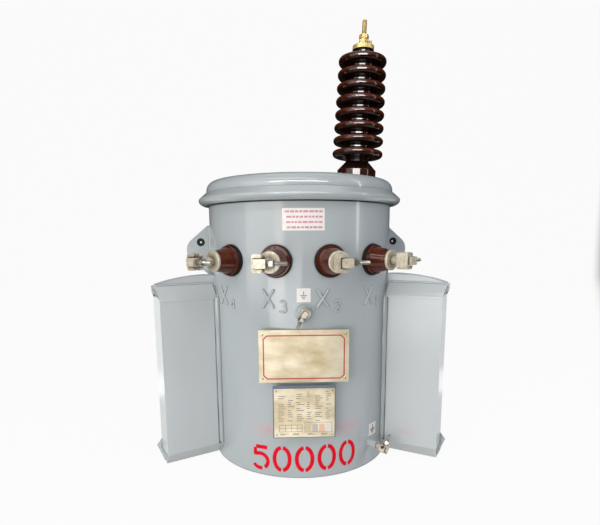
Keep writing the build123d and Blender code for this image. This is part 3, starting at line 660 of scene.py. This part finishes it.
def washer(place, start, height, width):
    """A flat washer with its edges rubbed round: rings at the rim, closed at the axis."""
    edge = 0.15 * height
    along = np.array([0, 0, edge, height - edge, height, height])
    radius = np.array([0, width / 2 - edge, width / 2, width / 2, width / 2 - edge, 0])
    return turned(place, start + along, radius)


def thread(place, start, end, radius, pitch):
    """A threaded rod: the radius dips once per pitch along a helix, and a cone chamfers the free end."""
    along = np.linspace(start, end, int((end - start) / pitch * 8) + 2)
    dip = 0.5 + 0.5 * np.cos(2 * pi * along[:, None] / pitch - RING)
    ridge = radius - 0.34 * pitch * dip
    cone = radius - 0.4 * pitch + (end - along)[:, None]
    closed = np.zeros((1, len(RING)))
    rings = np.concatenate([closed, np.minimum(ridge, cone), closed])
    return turned(place, np.concatenate([[start], along, [end]]), rings)


# %% Low-voltage clamp bolts
TANK_RADIUS = 240.0
LV_HEIGHT = 523.0
LV_SPACING = radians(29.5)
LV_BOLT_STAND = 98.0
LV_BOLT_SHIFT = 9.0
LV_STUD_REACH = 42.0
THREAD_PITCH = 2.5
UP = np.array([0.0, 0.0, 1.0])


def directions(bearing):
    """At a bearing from the front: the direction along the wall and the direction out of it."""
    return np.array([cos(bearing), sin(bearing), 0]), np.array([sin(bearing), -cos(bearing), 0])


def bolt_set(place, scale, reach):
    """A washer, a nut and a stud on one axis, the first two scaled with the clamp."""
    return [
        washer(place, 0, 3 * scale, 18 * scale),
        nut(place, 3 * scale, 11 * scale, 17 * scale),
        thread(place, -5 * scale, reach, 4.5 * scale, THREAD_PITCH * scale),
    ]


for number in (1, 2, 3, 4):
    along, out = directions(LV_SPACING * (number - 2.5))
    origin = (TANK_RADIUS + LV_BOLT_STAND) * out + LV_BOLT_SHIFT * along + LV_HEIGHT * UP
    grids = bolt_set((origin, along, out), 1.0, LV_STUD_REACH)
    bolt = shells(f"clamp_stud_{number}", grids, zinc)
    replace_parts(bolt, f"lv_clamp_bolt_{number}")
print("four clamp studs of", len(bolt.data.polygons), "faces each")

# %% Earth clamp bolts
EARTH_SCALE = 0.56
EARTH_BOLT_STAND = 41
EARTH_STUD_SCALE = 0.85
EARTH_STUD_REACH = 31.0
# Each earth point: its bearing, its height, how far it stands off the wall, and the clamp's turn.
EARTHS = {"front": (0.0, 406.0, 8.0, -118.0), "low": (44.0, 59.0, 27.0, 50.0)}
for name, (bearing, height, stand, turned_by) in EARTHS.items():
    along, out = directions(radians(bearing))
    axis = cos(radians(turned_by)) * along + sin(radians(turned_by)) * UP
    middle = (TANK_RADIUS + stand + EARTH_BOLT_STAND * EARTH_SCALE) * out + height * UP
    origin = middle + LV_BOLT_SHIFT * EARTH_SCALE * axis
    grids = bolt_set((origin, axis, out), EARTH_STUD_SCALE, EARTH_STUD_REACH)
    bolt = shells(f"{name}_earth_stud", grids, zinc)
    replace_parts(bolt, f"{name}_earth_bolt")
print("two earth studs")

# %% High-voltage nuts and stud
HV_NUT_HEIGHT = 11.0
HV_NUT_WIDTH = 22.0
HV_ROD_RADIUS = 6.0
HV_ROD_FOOT = -30
quarter = np.cross(HV_AXIS, HV_SIDE)
top = HV_TOP / MM - HV_TERMINAL_LENGTH / 2 * HV_AXIS
turned_side = cos(pi / 6) * HV_SIDE + sin(pi / 6) * quarter
nuts = [
    nut((top, HV_AXIS, HV_SIDE), -2 * HV_NUT_HEIGHT, HV_NUT_HEIGHT, HV_NUT_WIDTH),
    nut((top, HV_AXIS, turned_side), -HV_NUT_HEIGHT, HV_NUT_HEIGHT, HV_NUT_WIDTH),
]
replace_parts(shells("high_voltage_nuts", nuts, brass), "hv_nut")
rod = [thread((top, HV_AXIS, HV_SIDE), HV_ROD_FOOT, HV_TERMINAL_LENGTH, HV_ROD_RADIUS, THREAD_PITCH)]
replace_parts(shells("high_voltage_rod", rod, brass), "hv_stud")
print("brass nuts and rod on the high-voltage top")

# %% [markdown]
# ## Weld beads
# Radiators, lugs, hangers and earth points are welded to the tank and painted over. A bead is a rope along
# the joint that swells once per pool of molten metal, about every 5 mm, and ends round. It is carried along
# its path as a ring of points that keeps square to the path. The radiators' necks were ground smooth and
# filled, so a thicker rope with one long pool fills the corner there.


# %% Bead
def bead(path, out, radius, pool=5.0, sides=12):
    """A rope along a path: rings square to it, each swelling with the pools and shrinking to round ends."""
    length = np.concatenate([[0], np.cumsum(np.linalg.norm(np.diff(path, axis=0), axis=1))])
    step = np.gradient(path, axis=0)
    ahead = step / np.linalg.norm(step, axis=1, keepdims=True)
    side = np.cross(ahead, out)
    side /= np.linalg.norm(side, axis=1, keepdims=True)
    up = np.cross(side, ahead)
    swell = 0.9 + 0.16 * np.abs(np.sin(pi * length / pool)) + 0.06 * np.sin(length / 17)
    end = np.clip(np.minimum(length, length[-1] - length) / radius, 0, 1)
    size = radius * swell * np.sqrt(1 - (1 - end) ** 2)
    angle = np.linspace(0, 2 * pi, sides + 1)[:, None]
    spokes = np.cos(angle) * side[:, None] + np.sin(angle) * up[:, None]
    return path[:, None] + size[:, None, None] * spokes


# %% Radiator welds
RADIATOR_LEAN = radians(29.5)
RADIATOR_THICKNESS = 55.0
EDGE_HEIGHTS = (9, 42, 46, 428, 432, 455, 482)
EDGE_DEPTHS = (25.5, 0, 6, 6, 0, 25.5, 25.5)
EDGE_BEAD = 3.6
SEAM_MIDDLE = 27.5
SEAM_BEAD = 2.4
NECK_REACH = 242
NECK_DEPTH = 4.5
NECK_BEAD = 9.2
WELD_STEP = 0.9
LONG_POOL = 1000
SIDES = {"right": np.array([1, 1, 1]), "left": np.array([-1, 1, 1])}
outward = np.array([cos(RADIATOR_LEAN), -sin(RADIATOR_LEAN), 0])
across = np.array([sin(RADIATOR_LEAN), cos(RADIATOR_LEAN), 0])


def on_radiator(x, y, z):
    """A point in the right radiator's own directions: outwards, across its thickness, and up."""
    x, y, z = np.broadcast_arrays(x, y, z)
    return x[..., None] * outward + y[..., None] * across + z[..., None] * UP


heights = np.arange(EDGE_HEIGHTS[0], EDGE_HEIGHTS[-1], WELD_STEP)
near_depth = np.interp(heights, EDGE_HEIGHTS, EDGE_DEPTHS)
seam_bend = np.polyfit((240, 319, 396), (483, 481, 464.5), 2)
seam_reach = np.linspace(243, 392, 170)
paths = [
    (on_radiator(np.sqrt(TANK_RADIUS**2 - depth**2), depth, heights), EDGE_BEAD)
    for depth in (near_depth, RADIATOR_THICKNESS - near_depth)
]
paths.append((on_radiator(seam_reach, SEAM_MIDDLE, np.polyval(seam_bend, seam_reach)), SEAM_BEAD))
neck_depths = (NECK_DEPTH, RADIATOR_THICKNESS - NECK_DEPTH)
necks = [on_radiator(NECK_REACH, depth, np.arange(40, 434, 1.5)) for depth in neck_depths]
for name, flip in SIDES.items():
    ropes = [bead(path * flip, outward * flip, radius) for path, radius in paths]
    ropes += [bead(path * flip, outward * flip, NECK_BEAD, pool=LONG_POOL, sides=20) for path in necks]
    welds = shells(f"radiator_welds_{name}", ropes, enamel, sharp=80)
print("radiator welds of", len(welds.data.polygons), "faces each")

# %% [markdown]
# ## Radiator shoulders
# Below the welded seam the pressed sheet swells out to the flat wall in one easy curve. The CAD solid has a
# plain slope there, so a thin sheet goes over it: its depth falls from the seam's face to the wall as a power
# of the way down, which starts steep and ends flush. A smooth rope along its top closes the crease.

# %% Shoulders
SHOULDER_TOP = 464.0
SHOULDER_DROP = 38
SHOULDER_START = 247
SHOULDER_LENGTH = 147
SHOULDER_TAPER = 9
SHOULDER_CURVE = 1.7
SEAM_FACE = 25.2
WALL_STAND = 0.7
CREASE_DEPTH = 23.8
CREASE_BEAD = 1.9
way = np.linspace(0, 1, 24)
share = np.linspace(0, 1, 30)[:, None]
shoulder_depth = SEAM_FACE * (1 - way) ** SHOULDER_CURVE - WALL_STAND * way
shoulder_height = SHOULDER_TOP - SHOULDER_DROP * way
shoulder_reach = SHOULDER_START + share * (SHOULDER_LENGTH - SHOULDER_TAPER * way)
front = on_radiator(shoulder_reach, shoulder_depth, shoulder_height)
back = on_radiator(shoulder_reach, shoulder_depth + 1.2, shoulder_height - 0.6)
crease = on_radiator(np.linspace(246, 392, 160), CREASE_DEPTH, SHOULDER_TOP)
for name, flip in SIDES.items():
    sheet = slab(front * flip, back * flip)
    sheet.append(bead(crease * flip, across * flip, CREASE_BEAD, pool=LONG_POOL))
    shells(f"radiator_shoulder_{name}", sheet, radiator_enamel, sharp=50)
print("two shoulders,", round(float(np.ptp(shoulder_height)), 1), "mm high")

# %% [markdown]
# ## Welds at the lugs, hangers and earth points
# The same rope runs up both sides of each lifting lug and pole hanger, where a flat face meets the round
# wall, and as a ring round the foot of each earth point.

# %% Lug and hanger welds
LUG_TURN = radians(6.75)
LUG_HALF = 6.0
LUG_WELD = (482, 606)
HANGER_HALF = 46.0
HANGER_HEIGHTS = (274, 560)
HANGER_WELD_HALF = 40
FOOT_BEAD = 4.0
lug_out = np.array([cos(LUG_TURN), sin(LUG_TURN), 0])
lug_side = np.array([-sin(LUG_TURN), cos(LUG_TURN), 0])
lug_heights = np.arange(*LUG_WELD, WELD_STEP)[:, None]
ropes = []
for way in (1, -1):
    for face in (LUG_HALF, -LUG_HALF):
        foot = np.sqrt(TANK_RADIUS**2 - face**2) * lug_out * way + face * lug_side
        ropes.append(bead(foot + lug_heights * UP, lug_out * way, FOOT_BEAD))
for middle in HANGER_HEIGHTS:
    rise = np.arange(middle - HANGER_WELD_HALF, middle + HANGER_WELD_HALF, WELD_STEP)[:, None]
    for edge in (-HANGER_HALF, HANGER_HALF):
        foot = np.array([edge, np.sqrt(TANK_RADIUS**2 - edge**2), 0])
        ropes.append(bead(foot + rise * UP, (0, 1, 0), FOOT_BEAD))
print(len(ropes), "ropes at lugs and hangers")

# %% Earth point welds
# Each ring weld: the radius of the foot and the radius of the bead.
EARTH_FEET = {"front": (17.5, 2.4), "low": (9.5, 2.6)}


def collar(bearing, height, radius):
    """A ring round a round foot on the wall: a circle seen from outside, let down on to the cylinder."""
    along, out = directions(radians(bearing))
    angle = np.linspace(0, 2 * pi, 90)[:, None]
    run = radius * np.cos(angle)
    return run * along + np.sqrt(TANK_RADIUS**2 - run**2) * out + (height + radius * np.sin(angle)) * UP


for name, (radius, size) in EARTH_FEET.items():
    bearing, height = EARTHS[name][:2]
    ropes.append(bead(collar(bearing, height, radius), directions(radians(bearing))[1], size, pool=4))
welds = shells("lug_and_foot_welds", ropes, enamel, sharp=80)
print("other welds:", len(ropes), "ropes,", len(welds.data.polygons), "faces")

# %% [markdown]
# ## Lifting eyes
# The holes in the lifting lugs look dark and narrow: a dark rubber tube lines each one, as painted shade for
# the hole's shaded inner wall. A tube's profile runs out along the hole, over a rounded end and back along
# the bore.

# %% Shade tubes in the eyes
EYE_REACH = 264.0
EYE_HEIGHT = 565.0
EYE_SHADE_ALONG = [-5, -5, -4.4, 4.4, 5, 5, 3, -3, -5]
EYE_SHADE_RADIUS = [4, 9.8, 10.4, 10.4, 9.8, 4, 2.4, 2.4, 4]
# Painted shade: a dark tube in each eye draws the shaded inner wall of the hole.
for name, way in (("left", -1), ("right", 1)):
    middle = EYE_REACH * way * lug_out + EYE_HEIGHT * UP
    tube = turned((middle, lug_side, UP), EYE_SHADE_ALONG, EYE_SHADE_RADIUS)
    shells(f"lifting_eye_shade_{name}", [tube], rubber)
print("two bushes, bore", 2 * min(EYE_SHADE_RADIUS), "mm")

# %% [markdown]
# ## Name plate
# A large gold plate with a red line border whose corners are cut, and a rivet at each corner. The field
# inside stays bare. The border is a flat ring: one outline carried along four edges of a small rectangular
# section, which keeps the line equally wide where a drawn texture would blur.

# %% Name plate border
NAME_FRONT = -247.5
NAME_MIDDLE = 306.0
LINE = 2.8
LINE_HALF_WIDTH = 94.4
LINE_HALF_HEIGHT = 52.2
LINE_CUT = 9.0
LINE_DROP = 1.8


def cut_corners(half_width, half_height, cut):
    """The closed outline of a rectangle with its corners cut off at 45 degrees."""
    right = np.array([1, 1, 1, -1, -1, -1, -1, 1, 1])
    upper = np.array([-1, 1, 1, 1, 1, -1, -1, -1, -1])
    x = right * half_width - cut * np.array([0, 0, 1, -1, 0, 0, -1, 1, 0])
    z = upper * half_height - cut * np.array([-1, 1, 0, 0, 1, -1, 0, 0, -1])
    return np.stack([x, z], axis=-1)


def facing(outline, y, z):
    """A flat outline stood upright in the plane at depth y, with its middle at height z."""
    return np.stack(np.broadcast_arrays(outline[:, 0], y, outline[:, 1] + z), axis=-1)


def flat_ring(outer, inner, back, front, z):
    """A closed flat ring between two outlines: their front edges, their back edges, and back to the start."""
    loops = [(inner, back), (inner, front), (outer, front), (outer, back), (inner, back)]
    return np.stack([facing(outline, y, z) for outline, y in loops])


outer = cut_corners(LINE_HALF_WIDTH, LINE_HALF_HEIGHT, LINE_CUT)
inner_cut = LINE_CUT - LINE * (2 - 2**0.5)
inner = cut_corners(LINE_HALF_WIDTH - LINE, LINE_HALF_HEIGHT - LINE, inner_cut)
border = [flat_ring(outer, inner, NAME_FRONT + 0.2, NAME_FRONT - 0.25, NAME_MIDDLE - LINE_DROP)]
shells("name_plate_line", border, red_ink, sharp=20)
print("name plate line")

# %% Rivets
RATING_FRONT = -257.5
RATING_MIDDLE = 173.0


def dome(x, y, z, radius, rise):
    """A rivet head on a plate: an ellipse turned about the axis that faces the front."""
    angle = np.linspace(0, pi / 2, 8)
    along = np.concatenate([[-0.5, -0.5], rise * np.sin(angle)])
    size = np.concatenate([[0, radius], radius * np.cos(angle)])
    return turned(((x, y, z), (0, -1, 0), (1, 0, 0)), along, size)


heads = [dome(x, NAME_FRONT, NAME_MIDDLE + z, 3.0, 1.4) for x in (-95.5, 95.5) for z in (-52, 52)]
heads += [dome(x, RATING_FRONT, RATING_MIDDLE + z, 2.4, 1.2) for x in (-65, 65) for z in (-53.5, 53.5)]
shells("plate_rivets", heads, rivet_steel, sharp=60)
print(len(heads), "rivets")

# %% [markdown]
# ## Rating plate
# A smaller plate on a carrier frame that shows as a band above it; its dark slate colour is painted shade,
# for the bracket's flange that lies in shade there. Its printed table is drawn as plain bars: short marks in
# columns, a row of tinted boxes and a ruled panel. Each mark is a thin closed sheet of ink, so that it is in
# the mesh too, and a seeded random choice varies the lengths.

# %% Carrier
CARRIER_BACK = -254.2
CARRIER_FRONT = -256.1


def rectangle(x0, x1, z0, z1):
    """The closed outline of an upright rectangle."""
    return np.array([(x0, z0), (x1, z0), (x1, z1), (x0, z1), (x0, z0)], float)


outer = rectangle(-73, 73, -61, 66)
inner = rectangle(-64.6, 64.6, -52, 53)
carrier = flat_ring(outer, inner, CARRIER_BACK, CARRIER_FRONT, RATING_MIDDLE)
# Painted shade: the carrier's dark slate colour draws the bracket's flange in shade above the plate.
shells("rating_plate_carrier", [carrier], shaded_flange_slate, sharp=20)
print("carrier band")

# %% Printed marks
RATING_WIDTH = 141
RATING_HEIGHT = 118
INK_FRONT = RATING_FRONT - 0.15
INK_BACK = RATING_FRONT + 0.2
# The table's columns: where each starts and how wide it is, in shares of the plate's width.
COLUMNS = ((0.06, 0.12), (0.22, 0.1), (0.36, 0.13), (0.53, 0.08), (0.67, 0.13), (0.85, 0.09))
GAP_CHANCE = 0.22


def mark(x, z, width, height):
    """One printed bar on the rating plate: a closed flat field, in shares of the plate's size."""
    left, right = (place * RATING_WIDTH - RATING_WIDTH / 2 for place in (x, x + width))
    low, high = (place * RATING_HEIGHT - RATING_HEIGHT / 2 for place in (z, z + height))
    outline = rectangle(left, right, low, high)
    middle = outline[:4].mean(axis=0) + 0 * outline
    loops = [(middle, INK_FRONT), (outline, INK_FRONT), (outline, INK_BACK), (middle, INK_BACK)]
    return np.stack([facing(loop, y, RATING_MIDDLE) for loop, y in loops])


chance = np.random.default_rng(11)
table = []
for row in np.linspace(0.925, 0.335, 15):
    for start, width in COLUMNS:
        if (row > 0.86 and start < 0.3) or chance.random() < GAP_CHANCE:
            continue
        table.append(mark(start + chance.uniform(0, 0.02), row, width * chance.uniform(0.45, 1.0), 0.013))
for row in (0.045, 0.065):
    table += [mark(start, row, chance.uniform(0.08, 0.14), 0.01) for start in (0.1, 0.3, 0.55, 0.78)]
shells("rating_plate_rows", table, dark_ink, sharp=20)
rules = [mark(x, 0.11, 0.006, 0.14) for x in (0.08, 0.18, 0.28, 0.38, 0.46)]
rules += [mark(0.08, z, 0.386, 0.007) for z in (0.11, 0.18, 0.25)]
rules += [mark(x, 0.1, 0.006, 0.2) for x in (0.505, 0.955)]
rules += [mark(0.505, z, 0.456, 0.006) for z in (0.1, 0.3)]
shells("rating_plate_rules", rules, dark_ink, sharp=20)
TINTS = {"beige": "#CBBD9C", "grey": "#B9B5AC", "peach": "#DDB79E", "pale": "#DCD5CB"}
for place, (name, code) in enumerate(TINTS.items()):
    tint = two_tone(f"{name}_plate_ink", code, code, 5, (0.35, 0.5), relief=0.05)
    shells(f"rating_plate_{name}_box", [mark(0.52 + 0.112 * place, 0.1, 0.09, 0.17)], tint, sharp=20)
print(len(table), "marks,", len(rules), "rules")

# %% [markdown]
# ## Stickers
# A white label under the lid, with four rows of plain faded bars, and two small earth stickers, printed with
# the earth sign: a stem and three bars. Vinyl lies on the curved wall, so its flat coordinates are wrapped:
# the distance along the wall becomes a bearing.

# %% Wrap and label
FILM_STAND = 0.05
FILM_THICKNESS = 0.3
LABEL_ROWS = (632, 620.5, 609, 597.5)
LABEL_ROW_HALF = 2.1
LABEL_ROW_END = 43


def wall(s, z, stand):
    """A point on the tank: the distance s along the wall becomes a bearing, at a height above the surface."""
    reach = TANK_RADIUS + stand
    bearing = s / TANK_RADIUS
    return np.stack(np.broadcast_arrays(reach * np.sin(bearing), -reach * np.cos(bearing), z), axis=-1)


def wall_sheet(s0, s1, z0, z1, stand, thick):
    """A closed rectangle of film on the wall: a front and a back grid, wrapped."""
    s = np.linspace(s0, s1, 25)[:, None]
    z = np.linspace(z0, z1, 3)
    return slab(wall(s, z, stand + thick), wall(s, z, stand))


shells("white_label", wall_sheet(-47, 48, 590.5, 639.5, FILM_STAND, FILM_THICKNESS), vinyl, sharp=20)
label_rows = []
for height in LABEL_ROWS:
    low, high = height - LABEL_ROW_HALF, height + LABEL_ROW_HALF
    place = chance.uniform(-42, -36)
    while place < 36:
        length = chance.uniform(5, 12)
        label_rows += wall_sheet(place, min(place + length, LABEL_ROW_END), low, high, 0.36, 0.1)
        place += length + 2
shells("label_rows", label_rows, pink_ink, sharp=20)
print("a label with", len(label_rows) // 6, "bars")

# %% Earth stickers
STICKER = 32.0
# The sign's bars, in shares of the sticker: left, right, low and high.
EARTH_BARS = (
    (-0.04, 0.04, 0.0, 0.34),
    (-0.32, 0.32, -0.06, 0.02),
    (-0.21, 0.21, -0.2, -0.12),
    (-0.1, 0.1, -0.34, -0.26),
)


def earth_sign(s, z, size):
    """The earth sign: a stem and three shorter and shorter bars, as films in shares of the sticker's size."""
    grids = []
    for left, right, low, high in EARTH_BARS:
        grids += wall_sheet(s + left * size, s + right * size, z + low * size, z + high * size, 0.3, 0.25)
    return grids


SIGNS = (("front", 0.0, 446.5, 0.8, faded_ink), ("low", 48.3, 90.0, 1.0, black_ink))
for name, bearing, height, share, ink in SIGNS:
    s = TANK_RADIUS * radians(bearing)
    half = STICKER / 2
    film = wall_sheet(s - half, s + half, height - half, height + half, FILM_STAND, FILM_THICKNESS)
    shells(f"{name}_earth_sticker", film, vinyl, sharp=20)
    shells(f"{name}_earth_sign", earth_sign(s, height, share * STICKER), ink, sharp=20)
print("two earth stickers")

# %% [markdown]
# ## Stencil and welded marks
# The red figures near the foot were sprayed through a stencil, whose bridges leave gaps in every round. The
# terminal marks above the plates, a cross and a number as on every such unit, are run on with a welding rod
# and painted over. Both use the same strokes: lines and arcs in a unit box. The stencil widens a stroke into
# a flat film, and the welder's mark carries a bead along it.


# %% Strokes
def arc(x, z, reach_x, reach_z, start, end):
    """Points along part of an ellipse."""
    angle = np.radians(np.linspace(start, end, 40))
    return np.stack([x + reach_x * np.cos(angle), z + reach_z * np.sin(angle)], axis=-1)


FIGURES = {
    "0": [arc(0.31, 0.5, 0.31, 0.5, 97, 263), arc(0.31, 0.5, 0.31, 0.5, -83, 83)],
    "1": [[(0.1, 0.78), (0.34, 1.0)], [(0.34, 1.0), (0.34, 0.0)]],
    "2": [arc(0.3, 0.71, 0.29, 0.29, 170, -35), [(0.54, 0.54), (0.03, 0.0)], [(0.03, 0.0), (0.62, 0.0)]],
    "3": [arc(0.27, 0.75, 0.27, 0.25, 150, -85), arc(0.27, 0.26, 0.33, 0.26, 85, -150)],
    "4": [[(0.46, 1.0), (0.46, 0.0)], [(0.46, 1.0), (0.0, 0.32)], [(0.0, 0.32), (0.64, 0.32)]],
    "5": [
        [(0.6, 0.95), (0.1, 0.95)],
        [(0.06, 0.9), (0.06, 0.55)],
        arc(0.28, 0.33, 0.34, 0.33, 118, -55),
        arc(0.28, 0.33, 0.34, 0.33, -75, -148),
    ],
}
print(len(FIGURES), "figures")


# %% Stencil
def film_stroke(path, width):
    """A painted line on the wall: the path widened to both sides, as a closed film."""
    step = np.gradient(path, axis=0)
    sideways = np.stack([-step[:, 1], step[:, 0]], axis=-1)
    sideways /= np.linalg.norm(sideways, axis=1, keepdims=True)
    strip = path[:, None] + np.array([-0.5, 0, 0.5])[:, None] * width * sideways[:, None]
    s, z = strip[..., 0], strip[..., 1]
    return slab(wall(s, z, 0.3), wall(s, z, FILM_STAND))


STENCIL_HEIGHT = 58.0
STENCIL_WIDTH = STENCIL_HEIGHT * 1.05
STENCIL_STROKE = 9.5
STENCIL_PITCH = 55.0
STENCIL_START = 128
STENCIL_FOOT = 20
STENCIL_CLIMB = 0.025
films = []
for place, figure in enumerate("50000"):
    for stroke in FIGURES[figure]:
        path = dense(np.asarray(stroke) * (STENCIL_WIDTH, STENCIL_HEIGHT), 1.5)
        s = path[:, 0] + STENCIL_PITCH * place - STENCIL_START
        z = path[:, 1] + STENCIL_FOOT + STENCIL_CLIMB * s
        films += film_stroke(np.stack([s, z], axis=-1), STENCIL_STROKE)
shells("stencil_figures", films, red_paint, sharp=20)
print(len(films) // 6, "stencil strokes")

# %% Welded terminal marks
CROSS = [[(0.0, 1.0), (0.66, 0.0)], [(0.66, 1.0), (0.0, 0.0)]]
CROSS_MIDDLE = (0.33, 0.5)
CROSS_HEIGHT = 44.0
CROSS_BEAD = 3.3
FIGURE_MIDDLE = (0.31, 0.5)
FIGURE_HEIGHT = 25.0
FIGURE_PLACE = (35, -18)
FIGURE_BEAD = 2.7
# Each mark: its figure, its bearing and its height.
TERMINALS = (("4", -52.5, 437), ("3", -19.5, 438), ("2", 10.6, 438), ("1", 41.5, 438))
ropes = []
for figure, bearing, height in TERMINALS:
    s = TANK_RADIUS * radians(bearing)
    out = directions(radians(bearing))[1]
    strokes = [((np.asarray(line) - CROSS_MIDDLE) * CROSS_HEIGHT, CROSS_BEAD) for line in CROSS]
    for line in FIGURES[figure]:
        strokes.append(((np.asarray(line) - FIGURE_MIDDLE) * FIGURE_HEIGHT + FIGURE_PLACE, FIGURE_BEAD))
    for stroke, size in strokes:
        path = dense(stroke)
        ropes.append(bead(wall(path[:, 0] + s, path[:, 1] + height, 0.3), out, size, pool=6))
marks = shells("welded_terminal_marks", ropes, enamel, sharp=80)
print("welded marks of", len(marks.data.polygons), "faces")
